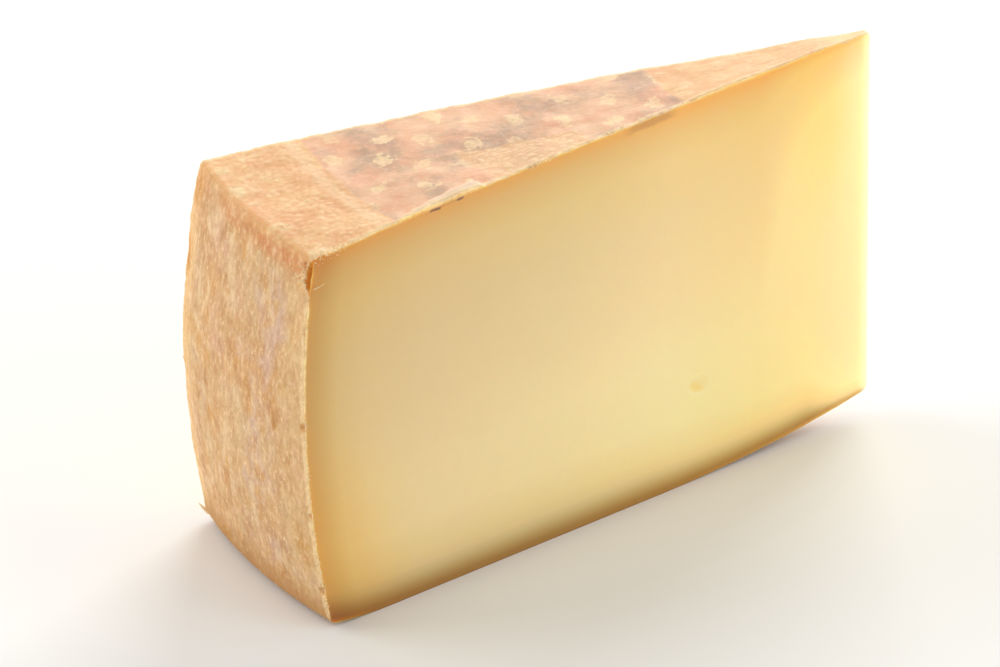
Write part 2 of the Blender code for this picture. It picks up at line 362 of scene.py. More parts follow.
def base_height(inward):
    """Height of the underside, flat between its hollow middle and its rounded foot."""
    hollow = np.maximum(0.0, inward - (1 - BASE_HOLLOW_SHARE)) / BASE_HOLLOW_SHARE
    foot = np.maximum(0.0, FOOT_SHARE - inward) / FOOT_SHARE
    return BASE_HOLLOW * hollow**2 + FOOT_RISE * foot**2


def heel_radius(upward):
    """Radius of the rim. upward is 0 at the base and 1 at the top."""
    return RIM_RADIUS + HEEL_BULGE * 4 * upward * (1 - upward) + HEEL_LEAN * (0.5 - upward)


def section_point(inward, upward):
    """(radius, height) of a point of the radial section."""
    radius = TIP_RADIUS + (heel_radius(upward) - TIP_RADIUS) * (1 - inward)
    low = base_height(inward)
    return np.array((radius, low + (top_height(inward) - low) * upward))


def inward_share(radius):
    """How far in from the rim a radius is: 0 at the rim, 1 at the tip."""
    return 1 - (radius - TIP_RADIUS) / (RIM_RADIUS - TIP_RADIUS)


def evenly(count):
    """Shares from 0 to 1 in this many even steps."""
    return [step / count for step in range(count + 1)]


def top_shares():
    """Shares of the way in over the top, in rows that are finer on the pebbled rind."""
    radius = RIM_RADIUS / MM
    shares = [0.0]
    for inner, step in TOP_ROWS:
        rows = max(1, round((radius - inner) / step))
        shares += [inward_share((radius - (radius - inner) * k / rows) * MM) for k in range(1, rows + 1)]
        radius = inner
    return shares


def section_sides(settings):
    """The four sides as (side's name, point at a share of the way, shares, rounding at its end)."""
    base_rows = round((RIM_RADIUS - TIP_RADIUS) / settings.base_step)
    heel_rows = round(RIM_HEIGHT / settings.row_step)
    tip_rows = round(RIM_HEIGHT / settings.base_step)
    return (
        ("base", lambda share: section_point(1 - share, 0.0), evenly(base_rows), RIM_ROUNDING),
        ("heel", lambda share: section_point(0.0, share), evenly(heel_rows), RIM_ROUNDING),
        ("top", lambda share: section_point(share, 1.0), top_shares(), TIP_ROUNDING),
        ("tip", lambda share: section_point(1.0, 1 - share), evenly(tip_rows), TIP_ROUNDING),
    )


def section_outline(settings):
    """The closed outline of the section: its points, and the name of the side each is on."""
    sides = section_sides(settings)
    runs = []
    for number, (name, point_at, shares, rounding) in enumerate(sides):
        length = np.linalg.norm(point_at(1.0) - point_at(0.0))
        first = sides[number - 1][3] / length
        last = 1 - rounding / length
        inner = [share for share in shares if first < share < last]
        runs.append([point_at(share) for share in (first, *inner, last)])
    points = []
    names = []
    for number, run in enumerate(runs):
        corner = sides[number][1](1.0)
        after = runs[(number + 1) % len(runs)][0]
        points += run
        names += [sides[number][0]] * len(run)
        for step in range(1, CORNER_ROWS):
            t = step / CORNER_ROWS
            points.append(run[-1] * (1 - t) ** 2 + corner * 2 * t * (1 - t) + after * t**2)
            names.append(sides[number][0] if t < 0.5 else sides[(number + 1) % len(sides)][0])
    return np.array(points), names


def outline_normals(outline):
    """The outward direction at each point of the outline, as (radial, upward)."""
    along = np.roll(outline, -1, axis=0) - np.roll(outline, 1, axis=0)
    normals = np.column_stack((along[:, 1], -along[:, 0]))
    return normals / np.linalg.norm(normals, axis=1)[:, None]


def wheel_points(radius, angle, height):
    """Points by their place round the wheel's axis, as rows of (x, y, z)."""
    return np.stack((-radius * np.cos(angle), radius * np.sin(angle), height), axis=-1)


def lean_of_cuts(angle, height):
    """How far a point turns because the cuts lean. It is all of a cut's lean at that cut."""
    upward = height / RIM_HEIGHT
    share = 2 * np.abs(angle) / CUT_ANGLE
    return np.where(angle < 0, -NEAR_LEAN, FAR_LEAN) * (0.5 - upward) * share


def in_frame(points):
    """Leans the cuts and moves points from the wheel's axis to the frame."""
    angle = np.arctan2(points[:, 1], -points[:, 0])
    turn = -lean_of_cuts(angle, points[:, 2])
    x = points[:, 0] * np.cos(turn) - points[:, 1] * np.sin(turn)
    y = points[:, 0] * np.sin(turn) + points[:, 1] * np.cos(turn)
    return np.column_stack((x, y, points[:, 2])) + np.array(WHEEL_AXIS)


def edge_point(edge, share):
    """A point on one of the wedge's sharp edges, in the frame, by its share of the way along it.

    Crest and foot run from near to far, the top edges from heel to tip, the heel edges upwards.
    """
    side = 1.0 if edge.startswith("far") else -1.0
    if edge.endswith("_top"):
        place = section_point(share, 1.0)
    elif edge.endswith("_heel"):
        place = section_point(0.0, share)
    elif edge.endswith("_base"):
        place = section_point(share, 0.0)
    else:
        place = section_point(0.0, 1.0 if edge == "crest" else 0.0)
        side = 2 * share - 1
    return in_frame(wheel_points(place[0], side * CUT_ANGLE / 2, place[1])[None])[0]


# Small helpers for numbers and noise


def smooth(low, high, value):
    """0 below low, 1 above high, and a smooth step between them."""
    share = np.clip((value - low) / (high - low), 0.0, 1.0)
    return share * share * (3 - 2 * share)


def fade(low, high, value):
    """1 below low, 0 above high, and a smooth step between them."""
    return 1 - smooth(low, high, value)


def hump(centre, half_width, value):
    """A smooth hump that is 1 at the centre."""
    return np.exp(-(((value - centre) / half_width) ** 2))


def wander(points, length, seed, stretch=(1.0, 1.0, 1.0)):
    """Smooth noise from -1 to 1 at each point, which changes over about this length."""
    scaled = points * np.array(stretch) / length + np.array((seed, 2.3 * seed, -seed))
    return np.array([noise.noise(Vector(place)) for place in scaled.tolist()])


def domes(points, pitch):
    """Rounded pebbles packed side by side: 0 in the grooves between them, 1 on their tops."""
    heights = np.empty(len(points))
    bent = points + 0.35 * pitch * np.column_stack([wander(points, pitch, seed) for seed in (3.7, 8.1, 5.9)])
    for number, place in enumerate((bent / pitch).tolist()):
        distances = noise.voronoi(Vector(place))[0]
        heights[number] = distances[1] - distances[0]
    return smooth(0.02, 0.55, heights)


# Relief of the rind, each kind as (height, length over which it changes, seed). The swells and crags,
# the torn lip and tear and the cuts' waves are the solid's own. The patch's uneven edge is given in
# the same way.

RIND_SWELL = (0.50 * MM, 16.0 * MM, 1.7)
RIND_CRAG = (0.22 * MM, 4.5 * MM, 5.1)
EDGE_LIP = (0.50 * MM, 7.0 * MM, 3.2)
EDGE_TEAR = (0.60 * MM, 3.5 * MM, 9.4)
CUT_WAVE = (0.30 * MM, 40.0 * MM, 7.9)
FINE_LIP = (0.16 * MM, 1.1 * MM, 4.7)
FINE_TEAR = (0.22 * MM, 1.2 * MM, 2.2)
TOP_GRAIN = (0.05 * MM, 1.0 * MM, 9.9)
PATCH_EDGE = (1.5 * MM, 6 * MM, 4.4)

# The relief starts this far above the base and is full at that height
RELIEF_STARTS = 1.0 * MM
RELIEF_FULL = 5.0 * MM

# Part of a normal that points out of a side, from where the side starts to count to where it counts
# in full
SIDE_BLEND = (0.35, 0.85)

# Humps beside the rim, as (middle, half width): the crest by distance from the rim's corner, the
# ochre band by depth under the rim, partly painted shade under the crest, with how ragged its edge
# is, and the pale border by radius
CREST_HUMP = (0.3 * MM, 1.0 * MM)
BAND_HUMP = (2.8 * MM, 2.6 * MM)
BAND_RAGGED = 1.3 * MM
BORDER_HUMP = (PRINT_OUTER + 2.6 * MM, 1.7 * MM)

# How rough the top is, as shares of the pebbled rind outside the printed zone: the patch, the rind
# nearer to the tip than the zone, and at least this much everywhere
PATCH_ROUGH = 0.75
INNER_ROUGH = 0.45
LEAST_ROUGH = 0.12

# The dry, flaky lip of the crest: how far in from the rim it lies, and its half width
DRY_LIP_INSET = 2.3 * MM
DRY_LIP_HALF = 2.0 * MM

# Crumbling rind, as (mean height, height of its crumbs), in mm
CREST_CRUMBS = (0.06, 0.11)
DRY_CRUMBS = (0.26, 0.20)
SPLIT_LIP_CRUMBS = (0.45, 0.30)

# How far the band lies back, and how far the border and the rolled lip stand out
BAND_DEPTH = 0.15 * MM
BORDER_HEIGHT = 0.10 * MM
ROLL_HEIGHT = 0.50 * MM

# The edge is calmer beside the split and under the crest, as (share, middle height, half height); it
# is the heel's edge this far from the wheel's axis, and the far edges are torn less
CALM_LIP = (0.9, 82.5 * MM, 4 * MM)
CALM_TEAR = (0.7, RIM_HEIGHT - 4 * MM, 6 * MM)
HEEL_EDGE_FROM = 140 * MM
FAR_EDGE_SHARE = 0.45


def field(relief, points):
    """One of the reliefs above at each point."""
    height, length, seed = relief
    return height * wander(points, length, seed)


def above_base(height):
    """Share of the relief at a height: none where the wedge rests, so that its base stays flat."""
    return np.clip((height - RELIEF_STARTS) / (RELIEF_FULL - RELIEF_STARTS), 0, 1)


def torn_lip(points):
    """How far the torn rind stands out of a cut beside it."""
    return 0.5 * EDGE_LIP[0] + 0.5 * field(EDGE_LIP, points) + field(FINE_LIP, points)


class RindPlaces:
    """Where each point of the rind is, and how much each kind of relief counts there."""

    def __init__(self, radius, height, angle, normal):
        self.radius = radius
        self.height = height
        self.from_near = radius * (angle + CUT_ANGLE / 2)
        self.from_far = radius * (CUT_ANGLE / 2 - angle)
        self.points = wheel_points(radius, angle, height)
        self.across = angle / (CUT_ANGLE / 2)
        self.heel = smooth(*SIDE_BLEND, normal[:, 0])
        self.top = smooth(*SIDE_BLEND, normal[:, 1])
        outside = radius - heel_radius(1.0)
        below = RIM_HEIGHT - height
        self.crest = hump(*CREST_HUMP, np.hypot(outside, below))
        self.crest_dry = hump(0.0, DRY_LIP_HALF, np.hypot(outside + DRY_LIP_INSET, below)) * sum(
            hump(place, half, self.across) for place, half in CREST_DRY
        )
        self.crest_dry = np.clip(self.crest_dry, 0.0, 1.0)
        ragged = BAND_RAGGED * wander(self.points, 1.1 * MM, 5.2, (1, 1, 0.35))
        self.band = self.heel * hump(*BAND_HUMP, below + ragged * smooth(1 * MM, 3 * MM, below))
        self.band *= 0.75 - 0.25 * self.across + 0.45 * wander(self.points, 7 * MM, 9.1)
        self.split, self.split_depth, self.split_lip = split_profile(height, self.from_near)
        self.split *= self.heel
        self.split_lip *= self.heel
        self.rough_top = self.top * (
            smooth(PRINT_OUTER - 1.5 * MM, PRINT_OUTER + 2 * MM, radius)
            + PATCH_ROUGH * self.in_patch()
            + INNER_ROUGH * fade(PRINT_INNER - 2 * MM, PRINT_INNER, radius)
        )
        self.rough_top = np.clip(self.rough_top, LEAST_ROUGH * self.top, 1.0)
        self.border = self.top * hump(*BORDER_HUMP, radius)
        width = MM * np.interp(radius / MM, ROLL_RADII, ROLL_WIDTHS)
        width *= 1 + 0.25 * wander(self.points, 3 * MM, 8.8)
        self.roll = self.top * fade(0.6 * width, width + 1e-6, self.from_near)
        self.roll *= smooth(0.2 * MM, 1.2 * MM, width)

    def in_patch(self):
        """Share of the pebbled patch at each point, with an uneven edge."""
        edge = field(PATCH_EDGE, self.points)
        along = smooth(PATCH_INNER, PATCH_INNER + 2 * MM, self.radius + edge)
        along = along * fade(PATCH_OUTER - 3 * MM, PATCH_OUTER, self.radius + edge)
        width = np.interp(self.radius, (PATCH_INNER, PATCH_OUTER), PATCH_WIDTHS)
        return along * fade(width - 2 * MM, width, self.from_near + edge)


def upright_fibres(points):
    """Fibres of the heel's rind, taller than wide, with narrow grooves between them."""
    swerve = np.column_stack([wander(points, 3 * MM, seed) for seed in (5.5, 6.5, 7.5)])
    bent = points + 0.7 * MM * swerve
    fibres = 0.6 - 1.8 * np.abs(wander(bent, 1.5 * MM, 2.6, (1, 1, 0.6)))
    return fibres + 0.8 * wander(bent, 0.9 * MM, 8.3, (1, 1, 0.65))


def rind_relief(places, pebbles, settings):
    """How far the rind stands out at each point."""
    points = places.points
    relief = field(RIND_SWELL, points) + field(RIND_CRAG, points)
    worn = 1 - 0.6 * places.crest
    relief += settings.fibre_height * upright_fibres(points) * places.heel * worn
    relief += settings.pebble_height * (pebbles - 0.5) * places.rough_top * worn
    crumble = wander(points, 1.3 * MM, 6.2) + 0.6 * wander(points, 0.7 * MM, 1.1)
    crumbling = (
        (CREST_CRUMBS, places.crest),
        (DRY_CRUMBS, places.crest_dry),
        (SPLIT_LIP_CRUMBS, places.split_lip),
    )
    for (mean, crumbs), where in crumbling:
        relief += (mean + crumbs * crumble) * MM * where
    relief -= BAND_DEPTH * places.band
    relief += BORDER_HEIGHT * places.border * (0.7 + wander(points, 2.5 * MM, 7.1))
    relief += field(TOP_GRAIN, points) * places.top
    relief += ROLL_HEIGHT * places.roll
    relief -= pit_depth(places) + SPLIT_DEPTH * places.split_depth
    return relief * above_base(places.height)


def split_profile(height, from_near):
    """(where the split is, share of its depth, share of its curled lip) at points of the heel."""
    width = SPLIT_WIDTH * np.interp(height / MM, SPLIT_HEIGHTS, SPLIT_SHARES)
    width = width * (1 + 0.15 * np.sin(height / (0.7 * MM)))
    inside = fade(0.75 * width, width + 1e-6, from_near) * (width > 0.1 * MM)
    lip = hump(0.25 * MM, 0.45 * MM, from_near - width) * smooth(0.2, 0.5, width / SPLIT_WIDTH)
    return inside, inside * smooth(0.0, SPLIT_SLOPE, from_near), lip


def ochre_spots(places):
    """Where the heel has its ochre spots."""
    share = np.zeros(len(places.radius))
    for across, height, half_width, half_height in HEEL_SPOTS:
        side = (places.across - across) * CUT_ANGLE / 2 * places.radius / (half_width * MM)
        upward = (places.height - height * MM) / (half_height * MM)
        share += np.exp(-((side**2 + upward**2) ** 1.5))
    return np.clip(share, 0.0, 1.0) * places.heel


def pit_depth(places):
    """Depth of the small pits in the heel, which are taller than wide."""
    depth = np.zeros(len(places.radius))
    for across, height, half in HEEL_PITS:
        side = (places.across - across) * CUT_ANGLE / 2 * places.radius / (half * MM)
        upward = (places.height - height * MM) / (PIT_STRETCH * half * MM)
        depth += PIT_DEPTH_SHARE * half * MM * np.exp(-((side**2 + upward**2) ** 1.5)) * places.heel
    return depth


def edge_moves(points, normals, outward):
    """Along a cut the rind is torn back a little, and what is left stands out as a lip."""
    lip = torn_lip(points)
    torn = np.abs(field(EDGE_TEAR, points)) + np.abs(field(FINE_TEAR, points))
    by_heel = -points[:, 0] > HEEL_EDGE_FROM
    for move, (share, middle, half) in ((lip, CALM_LIP), (torn, CALM_TEAR)):
        move *= 1 - share * hump(middle, half, points[:, 2]) * by_heel
    if outward[1] > 0:
        lip, torn = FAR_EDGE_SHARE * lip, FAR_EDGE_SHARE * torn
    return (outward * lip[:, None] - normals * torn[:, None]) * above_base(points[:, 2])[:, None]


# The two cuts

# Rings of points behind the rind's edge, as (depth in mm, every how many points of the outline), and
# the depth from which the even net takes over
CUT_RINGS = ((0.45, 1), (0.9, 1), (1.4, 2), (2.1, 3), (3.1, 4), (4.5, 6))
NET_DEPTH = 5.4 * MM

# Rings of points over the eye: how many, their step as a share of the eye's half size, and how many
# times that half size the even net stays away
EYE_RINGS = 12
EYE_RING_STEP = 0.155
EYE_CLEAR = 2.1

# How far the torn lip reaches over the cut, and the gutter behind it, as (depth behind the rind, half
# width), with how deep it is
LIP_WIDTH = 0.62 * MM
GUTTER = (1.25 * MM, 0.5 * MM)
GUTTER_DEPTH = 0.16 * MM

# The eye's raised rim, as (middle, half width) in shares of the eye's half size, and its height
EYE_RIM = (1.15, 0.25)
EYE_RIM_HEIGHT = 0.025 * MM


def ring_points(outline, offset, every):
    """Points at an even depth behind the outline, and none where the corners crowd them."""
    places = (outline - outline_normals(outline) * offset)[::every]
    away = np.linalg.norm(places[:, None] - outline[None], axis=2).min(axis=1)
    return places[away > 0.93 * offset]


def cut_points(outline, settings):
    """Points inside a cut: rings behind the rind, an even net, and finer ones at the eye."""
    points = [ring_points(outline, offset * MM, every) for offset, every in CUT_RINGS]
    step = settings.cut_step
    net = []
    for column in range(int((RIM_RADIUS - TIP_RADIUS) / step)):
        for row in range(int((RIM_HEIGHT + CROWN_RISE + CROWN_BOW) / step)):
            net.append((TIP_RADIUS + column * step, (row + 0.5 * (column % 2)) * step))
    net = np.array(net)
    inward = inward_share(net[:, 0])
    deep = depth_in_section(net[:, 0], net[:, 1], inward)
    centre = np.array(EYE_PLACE)
    eye_away = np.linalg.norm((net - centre) / np.array(EYE_HALF), axis=1)
    points.append(net[(deep > NET_DEPTH) & (eye_away > EYE_CLEAR)])
    for ring in range(1, EYE_RINGS + 1):
        size = EYE_RING_STEP * ring
        count = 6 * ring
        turns = np.arange(count) / count * 2 * math.pi
        points.append(centre + size * np.column_stack((np.cos(turns), np.sin(turns))) * EYE_HALF)
    points.append(centre[None])
    return np.concatenate(points)


def depth_in_section(radius, height, inward):
    """How far a point of a cut is behind the nearest side of the section."""
    return np.minimum.reduce(
        (
            heel_radius(height / RIM_HEIGHT) - radius,
            top_height(inward) - height,
            height - base_height(inward),
            radius - TIP_RADIUS,
        )
    )


def eye_shape(radius, height):
    """(share of the eye's full depth, share of its raised rim) at points of the near cut."""
    across = (radius - EYE_PLACE[0]) / EYE_HALF[0]
    upward = (height - EYE_PLACE[1]) / EYE_HALF[1]
    uneven = 1 + 0.10 * np.sin(3 * np.arctan2(upward, across) + 0.6)
    away = np.hypot(across, upward) / uneven
    bowl = np.clip(1 - away**2, 0.0, 1.0) ** 0.8 * (0.72 + 0.28 * (across - upward))
    return bowl, hump(*EYE_RIM, away)


def crease_depth(radius, height):
    """Two faint creases that the knife left in the near cut."""
    points = np.column_stack((radius, height))
    depth = np.zeros(len(points))
    for crease in CREASES:
        nearest = np.full(len(points), 1.0)
        corners = np.array(crease) * MM
        for start, end in zip(corners[:-1], corners[1:]):
            along = end - start
            share = np.clip((points - start) @ along / (along @ along), 0, 1)
            away = np.linalg.norm(points - start - share[:, None] * along, axis=1)
            nearest = np.minimum(nearest, away)
        depth += CREASE_DEPTH * hump(0.0, CREASE_WIDTH, nearest)
    return depth


def cut_moves(places, radius, height, inward, near):
    """How far each point of a cut stands out: lip and gutter at the rind, then the knife's marks."""
    behind = depth_in_section(radius, height, inward)
    share = above_base(height)
    move = torn_lip(places) * share * hump(0.0, LIP_WIDTH, behind)
    gutter = GUTTER_DEPTH * (0.7 + 0.8 * wander(places, 4 * MM, 6.6))
    move -= gutter * hump(*GUTTER, behind) * share
    move += field(CUT_WAVE, places) * smooth(0.5 * MM, 3 * MM, behind)
    move += 0.03 * MM * wander(places, 5 * MM, 3.3, (1, 1, 3))
    if near:
        bowl, rim = eye_shape(radius, height)
        move += EYE_RIM_HEIGHT * rim - EYE_DEPTH * bowl
        move -= crease_depth(radius, height)
    return move


def cut_outward(angle):
    """The way that the cut at this angle faces."""
    return np.array((math.sin(abs(angle)), math.copysign(math.cos(angle), angle), 0.0))


def fill_cut(outline, angle, settings):
    """The inner points and faces of one cut, with the outline's points first in its numbering."""
    inner = cut_points(outline, settings)
    flat = [Vector(place) for place in np.concatenate((outline, inner)).tolist()]
    count = len(outline)
    edges = [(number, (number + 1) % count) for number in range(count)]
    verts, _, faces, sources = geometry.delaunay_2d_cdt(flat, edges, [], 1, 1e-7)[:4]
    number_of = {}
    added = []
    for number, (place, source) in enumerate(zip(verts, sources)):
        on_outline = [item for item in source if item < count]
        if on_outline:
            number_of[number] = on_outline[0]
        else:
            number_of[number] = count + len(added)
            added.append(place[:])
    added = np.array(added)
    inward = inward_share(added[:, 0])
    places = wheel_points(added[:, 0], np.full(len(added), angle), added[:, 1])
    moves = cut_moves(places, added[:, 0], added[:, 1], inward, angle < 0)
    places = places + cut_outward(angle) * moves[:, None]
    triangles = [[number_of[corner] for corner in face] for face in faces]
    return places, added, triangles


def bite_moves(points):
    """Small bites out of the heel's near edge."""
    moves = np.zeros(points.shape)
    for height, half in NEAR_BITES:
        place = section_point(0.0, height * MM / RIM_HEIGHT)
        centre = wheel_points(place[0], -CUT_ANGLE / 2, place[1])
        away = np.linalg.norm(points - centre, axis=1) / (half * MM)
        moves += np.outer(half * MM * BITE_DEPTH_SHARE * np.clip(1 - away**2, 0, 1), BITE_WAY)
    return moves


def rind_faces(names, columns):
    """Faces between neighbouring rows and columns of the rind's points, and the side each is on."""
    faces = []
    sides = []
    for row, name in enumerate(names):
        after = (row + 1) % len(names)
        for column in range(columns - 1):
            a, b = row * columns + column, after * columns + column
            faces.append((a, a + 1, b + 1, b))
            sides.append(name)
    return faces, sides


def wedge_surface(settings):
    """All points, faces and face sides of the wedge's fine surface, and where its points are."""
    outline, names = section_outline(settings)
    normals2 = outline_normals(outline)
    rows, columns = len(outline), settings.columns + 1
    angles = np.linspace(-CUT_ANGLE / 2, CUT_ANGLE / 2, columns)
    radius = np.repeat(outline[:, 0], columns)
    height = np.repeat(outline[:, 1], columns)
    angle = np.tile(angles, rows)
    flat = np.repeat(normals2, columns, axis=0)
    normals = wheel_points(flat[:, 0], angle, flat[:, 1])
    places = RindPlaces(radius, height, angle, flat)
    pebbles = domes(places.points, settings.pebble_pitch)
    plain = 0.35 * (1 - places.in_patch())
    pebbles = (1 - plain) * pebbles + plain * (0.5 + 0.8 * wander(places.points, 1.3 * MM, 12.7))
    stands = rind_relief(places, pebbles, settings)
    on_tip = np.repeat([name == "tip" for name in names], columns)
    stands[on_tip] = 0.0
    points = places.points + normals * stands[:, None]
    points += bite_moves(places.points)
    for column in (0, columns - 1):
        side = np.arange(rows) * columns + column
        moves = edge_moves(places.points[side], normals[side], cut_outward(angles[column]))
        moves[on_tip[side]] = 0.0
        points[side] += moves
    faces, sides = rind_faces(names, columns)
    all_points = [points]
    plan = [np.column_stack((radius, height))]
    total = len(points)
    for column in (0, columns - 1):
        added, flat_added, triangles = fill_cut(outline, angles[column], settings)
        for triangle in triangles:
            corners = [
                item * columns + column if item < rows else total + item - rows
                for item in triangle
            ]
            faces.append(corners)
            sides.append("cut")
        all_points.append(added)
        plan.append(flat_added)
        total += len(added)
    plan = np.concatenate(plan)
    return {
        "points": np.concatenate(all_points),
        "plan": plan,
        "faces": faces,
        "sides": sides,
        "rind": places,
        "pebbles": pebbles,
        "rind_count": len(points),
    }


# Slopes of the paste's tints, stains, painted glow and painted shade, each as the two distances
# between which it changes.
# From the wheel's axis:
TIP_BASE_FADE = (3 * MM, 22 * MM)
TIP_TOP_FADE = (3 * MM, 36 * MM)
GLOW_STARTS = (4 * MM, 15 * MM)
GLOW_ENDS = (14 * MM, 40 * MM)
DRY_EDGE = (12 * MM, 45 * MM)
DEEP_BASE = (20 * MM, 70 * MM)
# Behind the heel:
TINTS_STRAIGHTEN = (80 * MM, 140 * MM)
LOW_HEEL_DEPTH = (4 * MM, 32 * MM)
SPLIT_STAIN_DEPTH = (0.5 * MM, 1.4 * MM)
# Above the base:
LOW_HEEL_HEIGHT = (15 * MM, 60 * MM)
MOIST_BASE = (2 * MM, 4 * MM)
SPLIT_CLEAN = (75 * MM, 78 * MM)
# Under the top, and behind the nearest rind:
GLOW_DEPTH = (5 * MM, 60 * MM)
TORN_DEPTH = (0.15 * MM, 0.70 * MM)
# Across the eye, from its upper side by the heel to its lower side by the tip:
EYE_SHADE = (-2.0 * MM, 0.8 * MM)

# The split's brown on the paste beside it, as (middle height, half height) and strength, and the
# strength of the brown in the bites, which are painted from this depth
SPLIT_STAIN = (82.3 * MM, 4.2 * MM)
SPLIT_STAIN_SHARE = 1.6
BITE_STAIN_SHARE = 0.2
BITE_STAIN_FROM = 0.05 * MM


def surface_attributes(surface):
    """What the materials read at each point, by name.

    Towards the tip the heel's tints run straight up instead of along the bulging heel, and the stains
    of the top and the base reach less deep.
    """
    places = surface["rind"]
    count = surface["rind_count"]
    radius, height = surface["plan"].T
    inward = inward_share(radius)
    behind = depth_in_section(radius, height, inward)
    bowl, rim = eye_shape(radius, height)
    low_side = radius - EYE_PLACE[0] - height + EYE_PLACE[1]
    near = surface["points"][:, 1] < 0
    on_cut = np.arange(len(radius)) >= count
    from_heel = heel_radius(height / RIM_HEIGHT) - radius
    bulge = heel_radius(height / RIM_HEIGHT) - RIM_RADIUS - 4 * MM
    under_top = top_height(inward) - height
    dry = smooth(*MOIST_BASE, height) * (0.25 + 0.75 * smooth(*DRY_EDGE, radius))
    dry *= 1 - smooth(*SPLIT_CLEAN, height) * (from_heel < 3 * MM) * near
    over_base = height - base_height(inward)
    over_base *= 1.35 - 0.35 * smooth(*DEEP_BASE, radius) + 3.0 * fade(*TIP_BASE_FADE, radius)
    glow = smooth(*GLOW_STARTS, radius) * fade(*GLOW_ENDS, radius)
    by_split = fade(*SPLIT_STAIN_DEPTH, from_heel) * hump(*SPLIT_STAIN, height) * near
    values = {
        "behind_heel": from_heel - bulge * smooth(*TINTS_STRAIGHTEN, from_heel),
        "under_top": under_top * (1 + 5.0 * fade(*TIP_TOP_FADE, radius)),
        "over_base": over_base,
        "radius": radius,
        "low_heel": fade(*LOW_HEEL_DEPTH, from_heel) * fade(*LOW_HEEL_HEIGHT, height),
        "torn": fade(*TORN_DEPTH, behind) * dry,
        # The eye's tint is painted shade in its hollow, darkest towards its lower side by the heel
        "eye": bowl * near * on_cut * smooth(*EYE_SHADE, low_side),
        "eye_rim": rim * near * on_cut,
        "near_cut": (near * on_cut).astype(float),
        "tip_glow": glow * fade(*GLOW_DEPTH, under_top),
    }
    for name, on_rind in rind_attributes(places, surface["pebbles"], dry[:count]).items():
        values[name] = np.concatenate((on_rind, np.zeros(len(radius) - count)))
    values["split"][count:] = np.clip(SPLIT_STAIN_SHARE * by_split[count:], 0.0, 1.0)
    return values


def rind_attributes(places, pebbles, dry):
    """What the rind's finishes read at each of its points, by name."""
    side = np.minimum(places.from_near, places.from_far + 0.8 * MM * places.heel)
    edge = fade(0.3 * MM, 1.3 * MM, side) * dry
    bitten = np.linalg.norm(bite_moves(places.points), axis=1) > BITE_STAIN_FROM
    return {
        "pebble": pebbles,
        "pebbled": places.rough_top,
        "smooth_top": np.clip(1 - 1.1 * places.rough_top, 0.0, 1.0),
        "patch": places.in_patch() * places.top,
        "border": places.border,
        "crest": places.crest,
        "crest_dry": places.crest_dry,
        "band": places.band,
        "edge": np.clip(edge + places.split_lip, 0.0, 1.0),
        "far_edge": places.heel * fade(0.3 * MM, 9.0 * MM, places.from_far),
        "near_edge": places.heel * fade(2 * MM, 13 * MM, places.from_near),
        "split": np.maximum(places.split, BITE_STAIN_SHARE * bitten * places.heel),
        "spots": ochre_spots(places),
        "roll": places.roll,
        "top_share": places.top,
    }


PASTE, HEEL, TOP, BASE = range(4)
SIDE_MATERIAL = {"cut": PASTE, "tip": PASTE, "heel": HEEL, "top": TOP, "base": BASE}


def wedge_mesh(settings):
    """The wedge as one closed mesh, with the attributes and material numbers on it."""
    surface = wedge_surface(settings)
    mesh = bpy.data.meshes.new("cheese_body")
    mesh.from_pydata(in_frame(surface["points"]).tolist(), [], surface["faces"])
    mesh.polygons.foreach_set("material_index", [SIDE_MATERIAL[side] for side in surface["sides"]])
    for name, values in surface_attributes(surface).items():
        attribute = mesh.attributes.new(name, "FLOAT", "POINT")
        attribute.data.foreach_set("value", np.asarray(values, np.float32))
    outwards = bmesh.new()
    outwards.from_mesh(mesh)
    bmesh.ops.recalc_face_normals(outwards, faces=outwards.faces)
    outwards.to_mesh(mesh)
    outwards.free()
    mesh.shade_smooth()
    mesh.set_sharp_from_angle(angle=math.radians(60))
    mesh.validate()
    return mesh


def patch_of(mesh, name, wanted):
    """A copy of the faces whose points are all wanted, to scatter things on."""
    copy = bmesh.new()
    copy.from_mesh(mesh)
    copy.verts.ensure_lookup_table()
    drop = [vert for vert in copy.verts if not wanted[vert.index]]
    bmesh.ops.delete(copy, geom=drop, context="VERTS")
    patch = bpy.data.meshes.new(name)
    copy.to_mesh(patch)
    copy.free()
    return patch


def attribute_values(mesh, name):
    """The values of one attribute at the mesh's points."""
    values = np.empty(len(mesh.vertices), np.float32)
    mesh.attributes[name].data.foreach_get("value", values)
    return values


# Node trees


def set_inputs(tree, node, values):
    """Fills or links inputs of a node, by name or number.

    An input takes a plain value, a socket to link, or a node whose first output in use is linked.
    """
    for key, value in values.items():
        if isinstance(value, bpy.types.Node):
            value = next(output for output in value.outputs if output.enabled)
        if isinstance(value, bpy.types.NodeSocket):
            tree.links.new(value, node.inputs[key])
        else:
            node.inputs[key].default_value = value


def add_node(tree, kind, inputs=None, stops=(), **settings):
    """Adds a node with its settings, its inputs and its colour stops."""
    node = tree.nodes.new(kind)
    for name, value in settings.items():
        setattr(node, name, value)
    set_inputs(tree, node, inputs or {})
    if stops:
        ramp = node.color_ramp.elements
        ramp[0].position, ramp[0].color = stops[0]
        ramp[-1].position, ramp[-1].color = stops[-1]
        for position, colour in stops[1:-1]:
            ramp.new(position).color = colour
    return node


def new_finish(name):
    """A new material with its tree and its shader."""
    material = bpy.data.materials.new(name)
    material.use_nodes = True
    return material, material.node_tree, material.node_tree.nodes["Principled BSDF"]


